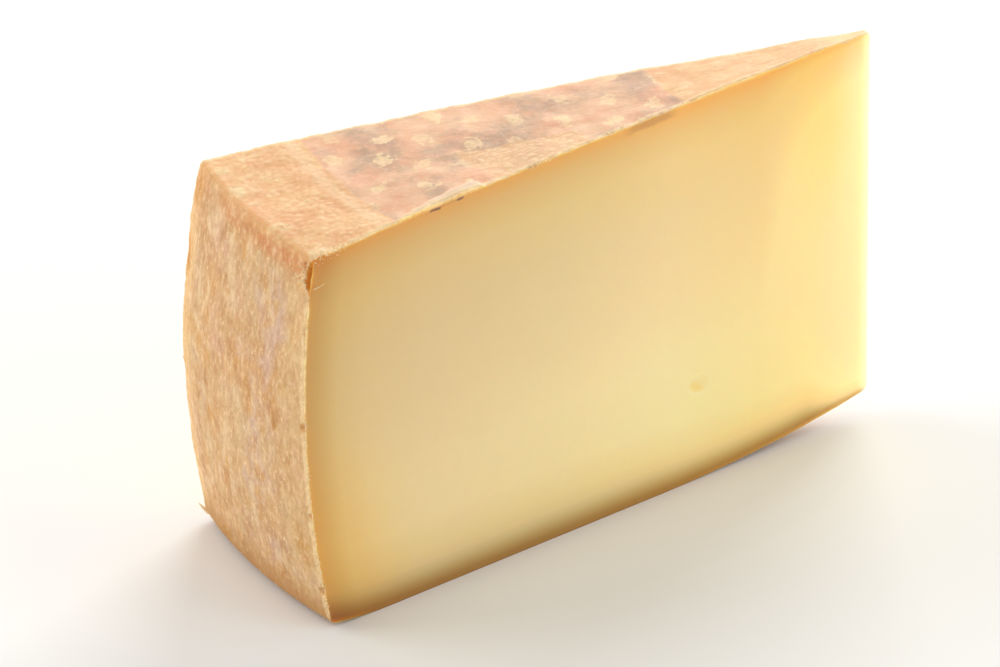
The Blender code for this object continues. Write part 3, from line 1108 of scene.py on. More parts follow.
def what_varies(tree, grains, on_mesh):
    """What a finish varies with, by name: its grains and the values on the mesh.

    Each grain has its size in mm, its upright stretch (below 1 is taller than wide), detail and seed.
    """
    place = add_node(tree, "ShaderNodeTexCoord").outputs["Object"]
    varies = {"place": place}
    for name in on_mesh:
        varies[name] = add_node(tree, "ShaderNodeAttribute", attribute_name=name).outputs["Fac"]
    for name, (size, upright, detail, seed) in grains.items():
        moved = {"Vector": place, "Location": (seed, 0.7 * seed, -seed), "Scale": (1, 1, upright)}
        grain = {
            "Vector": add_node(tree, "ShaderNodeMapping", moved),
            "Scale": 0.5 / (size * MM),
            "Detail": detail,
            "Roughness": 0.6 if detail > 3 else 0.5,
        }
        varies[name] = add_node(tree, "ShaderNodeTexNoise", grain).outputs["Fac"]
    return varies


def lay_colours(tree, varies, colour, layers, blend="MIX"):
    """Lays colours over a colour, and returns the last.

    A layer is (what it varies with, low, high, share, colour, masks): its share grows smoothly from
    nothing at low to all of it at high, and each mask cuts it down.
    """
    for name, low, high, share, layer, *masks in layers:
        ends = {"Value": varies[name], "From Min": low, "From Max": high, "To Max": share}
        where = add_node(tree, "ShaderNodeMapRange", ends, interpolation_type="SMOOTHSTEP")
        for mask in masks:
            where = add_node(tree, "ShaderNodeMath", {0: where, 1: varies[mask]}, operation="MULTIPLY")
        layer = linear(layer) if isinstance(layer, str) else layer
        mixed = {0: where, 6: colour, 7: layer}
        colour = add_node(tree, "ShaderNodeMix", mixed, data_type="RGBA", blend_type=blend)
    return colour


def lay_bumps(tree, varies, layers):
    """Lays bumps over each other, and returns the last.

    A bump is (what it follows, height, strength).
    """
    bump = None
    for name, height, strength in layers:
        inputs = {"Height": varies[name], "Distance": height, "Strength": strength}
        if bump:
            inputs["Normal"] = bump
        bump = add_node(tree, "ShaderNodeBump", inputs)
    return bump


# How the rind stains the paste, partly painted shade under the top and along the base, as (which
# depth, its length in mm, colours to multiply by at depths in mm)
PASTE_STAINS = (
    # Under the top: partly the rind's own stain, partly painted shade below the top rind
    (
        "under_top",
        60.0,
        (
            (0, "#EECA8E"),
            (2, "#EFCB90"),
            (4, "#EFD6AE"),
            (7, "#F0E0C0"),
            (12, "#F3EAD4"),
            (26, "#F4EFE9"),
            (60, "#FFFFFF"),
        ),
    ),
    (
        "behind_heel",
        155.0,
        (
            (0, "#D8B784"),
            (3, "#DABC8F"),
            (5, "#DEC59E"),
            (9, "#E8D7BE"),
            (16, "#EDDFD0"),
            (32, "#EFE4DF"),
            (70, "#F4ECE4"),
            (100, "#FFF4EA"),
            (127, "#FFF2D9"),
            (142, "#FFF5DC"),
            (151, "#FFF4E8"),
            (155, "#FFF0F1"),
        ),
    ),
    # Along the base: partly the rind's own brown layer, partly painted shade and reflection from beneath
    (
        "over_base",
        45.0,
        (
            (0, "#C9934F"),
            (1.3, "#B4925C"),
            (3, "#C7B38E"),
            (5, "#DFD7C5"),
            (7, "#F1E9DC"),
            (10, "#F9F4E6"),
            (17, "#FFFDF8"),
            (45, "#FBF7F6"),
        ),
    ),
)
PASTE_GRAINS = {
    "clouds": (14, 1, 3, 3),
    "crumbly": (0.9, 1, 2, 8),
    "film": (3, 1, 3, 5),
    "pores": (0.35, 1, 2, 1),
    "smear": (2.2, 0.4, 2, 12),
    "ragged": (1.2, 1, 2, 41),
}
PASTE_VALUES = (
    "under_top",
    "behind_heel",
    "over_base",
    "low_heel",
    "torn",
    "eye",
    "eye_rim",
    "near_cut",
    "split",
    "tip_glow",
)


def pressed_paste(finish):
    """Hard cheese paste, cut with a knife: dense, waxy and slightly see-through.

    Light sinks a few millimetres in, so thin places glow, and the knife leaves a satin smear of fat.
    Under the rind it is drier and browner, partly as painted shade, and the tip has painted glow.
    """
    material, tree, shader = new_finish("pressed_paste")
    varies = what_varies(tree, PASTE_GRAINS, PASTE_VALUES)
    colour = lay_colours(tree, varies, finish.paste, [("clouds", 0.35, 0.65, 0.10, "#F6E6AE")])
    for name, length, stops in PASTE_STAINS:
        depth = add_node(tree, "ShaderNodeMath", {0: varies[name], 1: length * MM}, operation="DIVIDE")
        stops = [(stop / length, linear(shade)) for stop, shade in stops]
        stain = add_node(tree, "ShaderNodeValToRGB", {"Fac": depth}, stops)
        mixed = {0: 1.0, 6: colour, 7: stain}
        colour = add_node(tree, "ShaderNodeMix", mixed, data_type="RGBA", blend_type="MULTIPLY")
    shades = [
        ("low_heel", 0.0, 1.0, 1.0, "#FFF4DF"),
        # Painted glow of light through the thin tip
        ("tip_glow", 0.0, 1.0, 1.0, "#FFFADA"),
        # Painted shade in the eye's hollow
        ("eye", 0.0, 0.9, 0.65, "#FFF0B0"),
    ]
    colour = lay_colours(tree, varies, colour, shades, "MULTIPLY")
    pale = [
        # Painted glow along the tip's thin edge
        ("behind_heel", 155.5 * MM, 160.5 * MM, 0.75, "#FFF2E8"),
        # Painted highlight on the eye's raised rim
        ("eye_rim", 0.0, 1.0, 0.04, "#FFF0C8"),
    ]
    colour = lay_colours(tree, varies, colour, pale)
    colour = residue_and_shadow(tree, varies, colour)
    dry = [
        ("split", 0.0, 0.8, 0.9, "#BC7C34"),
        ("torn", 0.0, 1.0, 0.45, finish.torn),
        ("crumbly", 0.38, 0.58, 0.8, finish.torn, "torn"),
    ]
    colour = lay_colours(tree, varies, colour, dry)
    rough = add_node(
        tree,
        "ShaderNodeMapRange",
        {"Value": varies["film"], "From Min": 0.3, "From Max": 0.7, "To Min": 0.36, "To Max": 0.48},
    )
    dull = add_node(tree, "ShaderNodeMath", {0: varies["torn"], 1: 0.75}, operation="MULTIPLY")
    bumps = (("pores", 0.02 * MM, 1.0), ("smear", 0.05 * MM, 1.0))
    values = {
        "Base Color": colour,
        "Roughness": add_node(tree, "ShaderNodeMath", {0: rough, 1: dull}, operation="MAXIMUM"),
        "Normal": lay_bumps(tree, varies, bumps),
        "IOR": 1.46,
        "Subsurface Weight": 0.85,
        "Subsurface Radius": (1.0, 0.78, 0.36),
        "Subsurface Scale": 6.0 * MM,
    }
    set_inputs(tree, shader, values)
    return material


def residue_and_shadow(tree, varies, colour):
    """Dark residue in thin ragged dashes under the top edge of the near cut, and a painted shadow."""
    ragged = {0: varies["ragged"], 1: RESIDUE_AND_SHADOW_RAGGED, 2: -0.5 * RESIDUE_AND_SHADOW_RAGGED}
    ragged = add_node(tree, "ShaderNodeMath", ragged, operation="MULTIPLY_ADD")
    under = add_node(tree, "ShaderNodeMath", {0: varies["under_top"], 1: ragged})
    behind = add_node(tree, "ShaderNodeMath", {0: varies["behind_heel"], 1: ragged})
    # Each mark mixes in a dark purple brown: the one at 66 mm is painted shadow, the others residue
    for radius, half_length, depth, half_height, strength in RESIDUE_AND_SHADOW:
        share = strength
        along = (behind, RIM_RADIUS - radius * MM, half_length * MM)
        for distance, centre, half in (along, (under, depth * MM, half_height * MM)):
            away = add_node(tree, "ShaderNodeMath", {0: distance, 1: centre}, operation="SUBTRACT")
            away = add_node(tree, "ShaderNodeMath", {0: away}, operation="ABSOLUTE")
            ends = {"Value": away, "From Min": half, "From Max": 0.5 * half}
            inside = add_node(tree, "ShaderNodeMapRange", ends, interpolation_type="SMOOTHSTEP")
            share = add_node(tree, "ShaderNodeMath", {0: inside, 1: share}, operation="MULTIPLY")
        share = add_node(tree, "ShaderNodeMath", {0: share, 1: varies["near_cut"]}, operation="MULTIPLY")
        mixed = {0: share, 6: colour, 7: linear("#6B4540")}
        colour = add_node(tree, "ShaderNodeMix", mixed, data_type="RGBA")
    return colour


# How light goes into the rind: about a millimetre deep, red light deepest
RIND_DEPTH = {
    "IOR": 1.44,
    "Subsurface Weight": 0.25,
    "Subsurface Radius": (1.0, 0.6, 0.35),
    "Subsurface Scale": 1.2 * MM,
}


def rind_edges(finish):
    """Layers of pale dry crumbs where the rind turns over the rim and where the knife tore it."""
    return (
        ("crest", 0.0, 1.0, 0.45, "#E9AE6B"),
        ("crest_dry", 0.25, 0.90, 0.45, finish.torn),
        ("crumbs", 0.46, 0.58, 0.9, finish.torn, "crest_dry"),
        ("crumbs", 0.56, 0.66, 0.5, finish.torn, "crest"),
        ("edge", 0.0, 0.8, 0.45, finish.torn),
        ("fine", 0.40, 0.60, 0.75, finish.torn, "edge"),
    )


HEEL_GRAINS = {
    "flecks": (0.70, 0.55, 4, 2),
    "fine": (0.40, 0.7, 2, 6),
    "patches": (6, 0.8, 4, 4),
    "blooms": (10, 0.8, 4, 9),
    "ochres": (4, 0.7, 4, 19),
    "mottle": (2.0, 0.7, 3, 23),
    "crumbs": (1.6, 1, 4, 15),
}
HEEL_VALUES = (
    "over_base",
    "band",
    "near_edge",
    "far_edge",
    "spots",
    "split",
    "crest",
    "crest_dry",
    "edge",
)


def washed_heel_rind(finish):
    """Rind washed with brine: dry, fibrous and crusty, softly mottled in cream, tan, ochre and pink.

    It has no gloss, and its short upright fibres break up the light.
    """
    material, tree, shader = new_finish("washed_heel_rind")
    varies = what_varies(tree, HEEL_GRAINS, HEEL_VALUES)
    layers = (
        ("patches", 0.36, 0.66, 0.90, "#D5A169"),
        ("blooms", 0.48, 0.66, 0.75, "#D7A788"),
        ("blooms", 0.48, 0.34, 0.80, "#D0AC98"),
        ("ochres", 0.50, 0.70, 0.85, "#D59C53"),
        ("mottle", 0.47, 0.33, 0.60, "#C48F5E"),
        ("mottle", 0.53, 0.68, 0.60, "#E9C89C"),
        ("near_edge", 0.0, 1.0, 0.45, "#E4BC80"),
        # Painted light along the heel's far edge
        ("far_edge", 0.0, 1.0, 0.70, "#F3C586"),
        ("spots", 0.0, 1.0, 0.95, "#E89A4C", "far_edge"),
        # The band under the crest: ochre rind, partly painted shade under the crest's overhang
        ("band", 0.0, 1.0, 0.75, "#D58A50"),
        ("flecks", 0.50, 0.32, 0.32, "#AE763F"),
        ("spots", 0.0, 1.0, 0.65, "#CC934C"),
        ("flecks", 0.52, 0.66, 0.50, "#F0CE9C"),
        ("fine", 0.45, 0.25, 0.18, "#A87848"),
        ("fine", 0.56, 0.70, 0.32, "#F7DFB8"),
        # Painted shade along the heel's foot, darker towards the base
        ("over_base", 9 * MM, 0.5 * MM, 0.80, "#B78244"),
        *rind_edges(finish),
        ("split", 0.0, 0.45, 1.0, "#DD9030"),
    )
    bumps = (("flecks", 0.07 * MM, 0.6), ("fine", 0.05 * MM, 0.6))
    values = {
        "Base Color": lay_colours(tree, varies, finish.heel, layers),
        "Roughness": 0.74,
        "Normal": lay_bumps(tree, varies, bumps),
    }
    set_inputs(tree, shader, RIND_DEPTH | values)
    return material


TOP_GRAINS = {
    "fine": (0.6, 1, 2, 6),
    "skin": (2.2, 1, 4, 27),
    "patches": (5, 1, 3, 11),
    "blooms": (12, 1, 2, 17),
    "uneven": (3.5, 1, 2, 21),
    "clouds": (9, 1, 4, 33),
    "worn": (1.3, 1, 4, 35),
    "crumbs": (1.6, 1, 4, 15),
}
TOP_VALUES = (
    "radius",
    "pebble",
    "pebbled",
    "smooth_top",
    "patch",
    "border",
    "roll",
    "crest",
    "crest_dry",
    "edge",
)


def washed_top_rind(finish):
    """The rind of the wheel's face: pebbled by its cloth, smooth and salmon where it was printed.

    Months of turning and brushing leave it with a soft sheen.
    """
    material, tree, shader = new_finish("washed_top_rind")
    varies = what_varies(tree, TOP_GRAINS, TOP_VALUES)
    ragged = {0: varies["uneven"], 1: PRINT_RAGGED, 2: varies["radius"]}
    ragged = add_node(tree, "ShaderNodeMath", ragged, operation="MULTIPLY_ADD")
    zone = 1.0
    for start, end in PRINT_FADES:
        ends = {"Value": ragged, "From Min": start, "From Max": end}
        inside = add_node(tree, "ShaderNodeMapRange", ends, interpolation_type="SMOOTHSTEP")
        zone = add_node(tree, "ShaderNodeMath", {0: inside, 1: zone}, operation="MULTIPLY")
    varies["zone"] = zone
    layers = (
        ("patches", 0.42, 0.60, 0.6, "#F4C68C"),
        ("blooms", 0.50, 0.64, 0.5, "#F0B280"),
        ("skin", 0.50, 0.66, 0.45, "#FAD8A6"),
        ("patch", 0.0, 1.0, 0.60, "#F7D4A2"),
        # Painted shade in the grooves between the pebbles and painted light on their tops
        ("pebble", 0.40, 0.0, 0.48, "#E09A60", "pebbled"),
        ("pebble", 0.55, 1.0, 0.38, "#FCDCA8", "pebbled"),
        ("zone", 0.0, 1.0, 1.0, "#EFBF98", "smooth_top"),
        ("patches", 0.40, 0.62, 1.0, "#EBAD86", "zone", "smooth_top"),
        ("skin", 0.50, 0.68, 0.40, "#F6D0A6", "zone", "smooth_top"),
    )
    colour = lay_colours(tree, varies, finish.top, layers)
    colour = faded_marks(tree, varies, finish, colour)
    layers = (
        ("border", 0.0, 1.0, 0.50, "#F7D4A6"),
        ("fine", 0.55, 0.70, 0.25, "#F6D4A8"),
        ("roll", 0.0, 1.0, 1.0, "#EACAA6"),
        # Painted glow on the top rind near the thin tip
        ("radius", 22 * MM, 6 * MM, 0.8, "#FFDCA0"),
        *rind_edges(finish),
    )
    bumps = (("skin", 0.10 * MM, 0.6), ("fine", 0.06 * MM, 0.8))
    values = {
        "Base Color": lay_colours(tree, varies, colour, layers),
        "Roughness": 0.63,
        "Normal": lay_bumps(tree, varies, bumps),
    }
    set_inputs(tree, shader, RIND_DEPTH | values)
    return material


def faded_marks(tree, varies, finish, colour):
    """A worn grey-violet wash in clouds, with pale ragged spots set in a staggered net."""
    layers = [("clouds", 0.38, 0.58, 0.42, finish.wash, "zone", "smooth_top")]
    colour = lay_colours(tree, varies, colour, layers)
    clouds = {"Value": varies["clouds"], "From Min": 0.45, "From Max": 0.60}
    varies["washed"] = add_node(tree, "ShaderNodeMapRange", clouds, interpolation_type="SMOOTHSTEP")
    layers = [("worn", 0.30, 0.60, 0.65, finish.wash, "washed", "zone", "smooth_top")]
    colour = lay_colours(tree, varies, colour, layers)
    waver = add_node(tree, "ShaderNodeTexNoise", {"Vector": varies["place"], "Scale": 220.0, "Detail": 1.0})
    wavering = {0: waver.outputs["Color"], 1: (MARK_WAVER,) * 3, 2: varies["place"]}
    wavering = add_node(tree, "ShaderNodeVectorMath", wavering, operation="MULTIPLY_ADD")
    net = {"Vector": wavering, "Rotation": (0, 0, MARK_TURN), "Scale": MARK_CELLS}
    cells = {"Vector": add_node(tree, "ShaderNodeMapping", net), "Scale": 1.0, "Randomness": 0.30}
    cells = add_node(tree, "ShaderNodeTexVoronoi", cells, voronoi_dimensions="2D")
    away = {0: varies["worn"], 1: 0.75, 2: cells.outputs["Distance"]}
    varies["from_spot"] = add_node(tree, "ShaderNodeMath", away, operation="MULTIPLY_ADD")
    strength = add_node(tree, "ShaderNodeSeparateColor", {0: cells.outputs["Color"]})
    varies["strength"] = add_node(tree, "ShaderNodeMapRange", {"Value": strength, "To Min": 0.55})
    fine = {"Value": varies["fine"], "From Min": 0.35, "From Max": 0.55, "To Min": 0.55}
    varies["petals"] = add_node(tree, "ShaderNodeMapRange", fine)
    masks = ("petals", "strength", "zone", "smooth_top")
    layers = [("from_spot", 0.61, 0.53, 0.95, finish.mark, *masks)]
    return lay_colours(tree, varies, colour, layers)


def dry_rind_flake(finish, name, darkest):
    """Torn flakes and crumbs of rind: dry, matt and paler than the rind that they came off."""
    material, tree, shader = new_finish(name)
    varies = what_varies(tree, {"fine": (0.4, 1, 2, 2)}, ("tone",))
    layers = (("tone", 0.0, 0.7, 1.0, finish.torn), ("tone", 0.7, 1.0, 0.6, "#FBE8C2"))
    values = {
        "Base Color": lay_colours(tree, varies, linear(darkest), layers),
        "Roughness": 0.78,
        "Normal": lay_bumps(tree, varies, [("fine", 0.05 * MM, 1.0)]),
        "IOR": 1.44,
    }
    set_inputs(tree, shader, values)
    return material


def geometry_tree(name, inputs):
    """A geometry tree with named inputs. Returns the tree and its input sockets by name."""
    tree = bpy.data.node_groups.new(name, "GeometryNodeTree")
    tree.interface.new_socket("Geometry", in_out="INPUT", socket_type="NodeSocketGeometry")
    for label, kind, default in inputs:
        socket = tree.interface.new_socket(label, in_out="INPUT", socket_type=kind)
        if default is not None:
            socket.default_value = default
    tree.interface.new_socket("Geometry", in_out="OUTPUT", socket_type="NodeSocketGeometry")
    entry = add_node(tree, "NodeGroupInput")
    return tree, entry.outputs


def copies_on_points(tree, entry, points, turns):
    """Puts a lump of random size on each point, makes all real, roughens them and coats them."""
    ball = add_node(tree, "GeometryNodeMeshIcoSphere", {"Radius": 0.5, "Subdivisions": 2})
    lump = add_node(tree, "GeometryNodeTransform", {"Geometry": ball, "Scale": entry["Size"]})
    seed = add_node(tree, "FunctionNodeIntegerMath", {0: entry["Seed"], 1: 1})
    size = {2: entry["Least Size"], 3: 1.0, "Seed": seed}
    size = add_node(tree, "FunctionNodeRandomValue", size, data_type="FLOAT")
    copies = {"Points": points, "Instance": lump, "Rotation": turns, "Scale": size}
    copies = add_node(tree, "GeometryNodeInstanceOnPoints", copies)
    tone = add_node(tree, "FunctionNodeRandomValue", {"Seed": entry["Seed"]}, data_type="FLOAT")
    stored = add_node(
        tree,
        "GeometryNodeStoreNamedAttribute",
        {"Geometry": copies, "Name": "tone", "Value": tone},
        data_type="FLOAT",
        domain="INSTANCE",
    )
    real = add_node(tree, "GeometryNodeRealizeInstances", {"Geometry": stored})
    rough = add_node(tree, "ShaderNodeTexNoise", {"Scale": 1.0 / (1.1 * MM), "Detail": 1.0})
    centred = {0: rough.outputs["Color"], 1: (0.5, 0.5, 0.5)}
    centred = add_node(tree, "ShaderNodeVectorMath", centred, operation="SUBTRACT")
    moved = {0: centred, "Scale": entry["Roughness"]}
    moved = add_node(tree, "ShaderNodeVectorMath", moved, operation="SCALE")
    shaped = add_node(tree, "GeometryNodeSetPosition", {"Geometry": real, "Offset": moved})
    smoothed = add_node(tree, "GeometryNodeSetShadeSmooth", {"Geometry": shaped, "Shade Smooth": True})
    coated = {"Geometry": smoothed, "Material": entry["Material"]}
    add_node(tree, "NodeGroupOutput", {"Geometry": add_node(tree, "GeometryNodeSetMaterial", coated)})


COMMON_INPUTS = (
    ("Size", "NodeSocketVector", (MM, 0.4 * MM, 0.2 * MM)),
    ("Least Size", "NodeSocketFloat", LEAST_SIZE),
    ("Spacing", "NodeSocketFloat", MM),
    ("Roughness", "NodeSocketFloat", 0.1 * MM),
    ("Seed", "NodeSocketInt", 0),
    ("Material", "NodeSocketMaterial", None),
)


def surface_scatter_tree():
    """Lumps scattered over a surface, lying on it with their length upright."""
    extra = (("Twist", "NodeSocketFloat", 0.4), ("Sink", "NodeSocketFloat", 0.0))
    tree, entry = geometry_tree("scales_on_surface", COMMON_INPUTS + extra)
    spread = {
        "Mesh": entry["Geometry"],
        "Distance Min": entry["Spacing"],
        "Density Max": 4.0e6,
        "Seed": entry["Seed"],
    }
    spread = add_node(
        tree, "GeometryNodeDistributePointsOnFaces", spread, distribute_method="POISSON"
    )
    upright = {"Rotation": spread.outputs["Rotation"], "Vector": (0.0, 0.0, 1.0)}
    upright = add_node(
        tree, "FunctionNodeAlignRotationToVector", upright, axis="X", pivot_axis="Z"
    )
    least = add_node(tree, "ShaderNodeMath", {0: entry["Twist"], 1: -1.0}, operation="MULTIPLY")
    seed = add_node(tree, "FunctionNodeIntegerMath", {0: entry["Seed"], 1: 2})
    twist = {2: least, 3: entry["Twist"], "Seed": seed}
    twist = add_node(tree, "FunctionNodeRandomValue", twist, data_type="FLOAT")
    turn = add_node(tree, "ShaderNodeCombineXYZ", {"Z": twist})
    turn = {"Rotation": upright, "Rotate By": add_node(tree, "FunctionNodeEulerToRotation", {0: turn})}
    turned = add_node(tree, "FunctionNodeRotateRotation", turn, rotation_space="LOCAL")
    sunk = {0: spread.outputs["Normal"], "Scale": entry["Sink"]}
    sunk = add_node(tree, "ShaderNodeVectorMath", sunk, operation="SCALE")
    placed = add_node(tree, "GeometryNodeSetPosition", {"Geometry": spread, "Offset": sunk})
    copies_on_points(tree, entry, placed, turned)
    return tree


def edge_scatter_tree():
    """Lumps strung along edges, turned every way and a little off the line."""
    extra = (("Stray", "NodeSocketFloat", 0.3 * MM),)
    tree, entry = geometry_tree("flakes_along_edge", COMMON_INPUTS + extra)
    line = add_node(tree, "GeometryNodeMeshToCurve", {"Mesh": entry["Geometry"]})
    spread = {"Curve": line, "Length": entry["Spacing"]}
    spread = add_node(tree, "GeometryNodeCurveToPoints", spread, mode="LENGTH")
    seed = add_node(tree, "FunctionNodeIntegerMath", {0: entry["Seed"], 1: 3})
    stray = {0: (-1.0, -1.0, -1.0), 1: (1.0, 1.0, 1.0), "Seed": seed}
    stray = add_node(tree, "FunctionNodeRandomValue", stray, data_type="FLOAT_VECTOR")
    offset = {0: stray, "Scale": entry["Stray"]}
    offset = add_node(tree, "ShaderNodeVectorMath", offset, operation="SCALE")
    placed = add_node(tree, "GeometryNodeSetPosition", {"Geometry": spread, "Offset": offset})
    seed = add_node(tree, "FunctionNodeIntegerMath", {0: entry["Seed"], 1: 4})
    turn = {0: (-3.1, -3.1, -3.1), 1: (3.1, 3.1, 3.1), "Seed": seed}
    turn = add_node(tree, "FunctionNodeRandomValue", turn, data_type="FLOAT_VECTOR")
    copies_on_points(tree, entry, placed, add_node(tree, "FunctionNodeEulerToRotation", {0: turn}))
    return tree


def grow(name, tree, base_mesh, values):
    """Runs a geometry tree on a mesh, and returns what comes out as a plain mesh's object."""
    piece = bpy.data.objects.new(name, base_mesh)
    bpy.context.scene.collection.objects.link(piece)
    modifier = piece.modifiers.new(name, "NODES")
    modifier.node_group = tree
    labels = {
        item.name: item.identifier
        for item in tree.interface.items_tree
        if item.item_type == "SOCKET" and item.in_out == "INPUT"
    }
    for label, value in values.items():
        modifier[labels[label]] = value
    graph = bpy.context.evaluated_depsgraph_get()
    grown = bpy.data.meshes.new_from_object(piece.evaluated_get(graph))
    piece.modifiers.clear()
    piece.data = grown
    grown.name = name
    bpy.data.meshes.remove(base_mesh)
    if not grown.polygons:
        raise RuntimeError(f"{name} grew nothing")
    return piece


def on_the_wedge(piece):
    """The piece rides on the wedge."""
    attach(piece, BODY)


def edge_lines(name, edges, settings, inset):
    """Bare lines a little inside the wedge's real edges: each is (edge, first share, last share).

    Crest and foot run from near to far, the others in the order of the section's outline.
    """
    body = bpy.data.objects["cheese_body"].data
    names = section_outline(settings)[1]
    columns = settings.columns + 1
    points = []
    links = []
    for edge, first, last in edges:
        if edge in ("crest", "foot"):
            before = "heel" if edge == "crest" else "base"
            row = max(number for number, side in enumerate(names) if side == before)
            numbers = [row * columns + column for column in range(columns)]
        else:
            cut, side = edge.split("_")
            column = 0 if cut == "near" else columns - 1
            numbers = [row * columns + column for row, name_ in enumerate(names) if name_ == side]
        numbers = numbers[int(first * len(numbers)) : int(last * len(numbers))]
        start = len(points)
        for number in numbers:
            vert = body.vertices[number]
            points.append(tuple(vert.co - vert.normal * inset))
        links += [(number, number + 1) for number in range(start, len(points) - 1)]
    mesh = bpy.data.meshes.new(name)
    mesh.from_pydata(points, links, [])
    return mesh


# Operators, one for each group of pieces


class CHEESE_OT_body(bpy.types.Operator):
    """Builds the wedge's fine surface in place of its plain solid"""

    bl_idname = "cheese.body"
    bl_label = "Wedge"

    def execute(self, context):
        scene = context.scene
        mesh = wedge_mesh(scene.cheese_body)
        finish = scene.cheese_finish
        heel = washed_heel_rind(finish)
        for material in (pressed_paste(finish), heel, washed_top_rind(finish), heel):
            mesh.materials.append(material)
        body = bpy.data.objects.new("cheese_body", mesh)
        scene.collection.objects.link(body)
        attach(body, BODY)
        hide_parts(NODE)
        return {"FINISHED"}


class CHEESE_OT_scales(bpy.types.Operator):
    """Scatters dry scales over the heel and crumbs over the rim"""

    bl_idname = "cheese.scales"
    bl_label = "Scales and crumbs"

    def execute(self, context):
        scene = context.scene
        rind = scene.cheese_rind
        crumb = dry_rind_flake(scene.cheese_finish, "dry_rind_crumb", "#EDC48E")
        scale = dry_rind_flake(scene.cheese_finish, "dry_rind_scale", "#CFA06C")
        body = bpy.data.objects["cheese_body"].data
        tree = surface_scatter_tree()
        height = np.array([vert.co.z for vert in body.vertices])
        behind = attribute_values(body, "behind_heel")
        on_heel = (behind < 1.2 * MM) & (height > 2 * MM) & (attribute_values(body, "crest") < 0.3)
        on_corner = (behind < 9 * MM) & (attribute_values(body, "under_top") < 2.2 * MM)
        groups = (
            (
                "heel_scales",
                on_heel & (attribute_values(body, "top_share") < 0.1),
                {
                    "Size": (rind.scale_length, 0.36 * MM, 0.10 * MM),
                    "Spacing": rind.scale_spacing,
                    "Roughness": 0.12 * MM,
                    "Seed": rind.seed,
                    "Material": scale,
                    "Twist": 0.45,
                    "Sink": -0.03 * MM,
                },
            ),
            (
                "rim_crumbs",
                attribute_values(body, "crest_dry") > 0.35,
                {
                    "Size": (1.1 * MM, 0.5 * MM, 0.20 * MM),
                    "Spacing": 1.1 * MM,
                    "Roughness": 0.15 * MM,
                    "Seed": rind.seed + 10,
                    "Material": crumb,
                    "Twist": 3.1,
                    "Sink": -0.02 * MM,
                },
            ),
            (
                "corner_specks",
                on_corner & (attribute_values(body, "near_cut") > 0.5),
                {
                    "Size": (0.7 * MM, 0.32 * MM, 0.18 * MM),
                    "Spacing": 0.62 * MM,
                    "Roughness": 0.12 * MM,
                    "Seed": rind.seed + 12,
                    "Material": crumb,
                    "Twist": 3.1,
                    "Sink": -0.03 * MM,
                },
            ),
        )
        for name, wanted, values in groups:
            patch = patch_of(body, name + "_patch", wanted)
            on_the_wedge(grow(name, tree, patch, values))
        return {"FINISHED"}


class CHEESE_OT_flakes(bpy.types.Operator):
    """Strings torn flakes along the edges that the knife left"""

    bl_idname = "cheese.flakes"
    bl_label = "Torn flakes"

    def execute(self, context):
        scene = context.scene
        rind = scene.cheese_rind
        crumb = bpy.data.materials["dry_rind_crumb"]
        tree = edge_scatter_tree()
        common = {"Material": crumb, "Roughness": 0.12 * MM}
        groups = (
            (
                "heel_edge_flakes",
                (("near_heel", 0.02, 0.86),),
                (rind.flake_length, 0.40 * MM, 0.22 * MM),
                rind.flake_spacing,
                0.28 * MM,
            ),
            (
                "top_edge_flakes",
                (("near_top", 0.0, 0.09), ("near_top", 0.505, 0.565)),
                (0.85 * MM, 0.32 * MM, 0.18 * MM),
                0.22 * MM,
                0.50 * MM,
            ),
            (
                "far_edge_flakes",
                (("far_heel", 0.02, 1.0),),
                (0.5 * MM, 0.35 * MM, 0.20 * MM),
                2.2 * MM,
                0.10 * MM,
            ),
            (
                "rim_edge_flakes",
                (("crest", 0.0, 0.10), ("foot", 0.0, 1.0)),
                (0.6 * MM, 0.35 * MM, 0.20 * MM),
                0.8 * MM,
                0.25 * MM,
            ),
        )
        for number, (name, edges, size, spacing, stray) in enumerate(groups):
            values = {
                "Size": size,
                "Spacing": spacing,
                "Seed": rind.seed + 20 + number,
                "Stray": stray,
            }
            lines = edge_lines(name + "_lines", edges, scene.cheese_body, 0.08 * MM)
            on_the_wedge(grow(name, tree, lines, values | common))
        return {"FINISHED"}


class CHEESE_OT_slivers(bpy.types.Operator):
    """Places the longer slivers of torn rind that stand out of the edges"""

    bl_idname = "cheese.slivers"
    bl_label = "Slivers"

    def execute(self, context):
        joined = bmesh.new()
        for number, (place, way, length, half_width) in enumerate(SLIVERS):
            way = Vector(way).normalized()
            add_sliver(joined, sliver_start(place), way, length * MM, half_width * MM, number)
        mesh = bpy.data.meshes.new("rind_slivers")
        joined.to_mesh(mesh)
        joined.free()
        mesh.shade_smooth()
        mesh.materials.append(bpy.data.materials["dry_rind_crumb"])
        tone = mesh.attributes.new("tone", "FLOAT", "POINT")
        tone.data.foreach_set("value", np.full(len(mesh.vertices), 0.75, np.float32))
        piece = bpy.data.objects.new("rind_slivers", mesh)
        context.scene.collection.objects.link(piece)
        on_the_wedge(piece)
        return {"FINISHED"}


def sliver_start(place):
    """Where a sliver comes out of the wedge."""
    if isinstance(place[0], str):
        return Vector(edge_point(*place))
    radius, height = place[0] * MM, place[1] * MM
    angle = -CUT_ANGLE / 2
    if radius < 20 * MM:
        outer = heel_radius(height / RIM_HEIGHT)
        radius, angle = outer + 0.6 * MM, angle + radius / outer
    return Vector(in_frame(wheel_points(radius, angle, height)[None])[0])


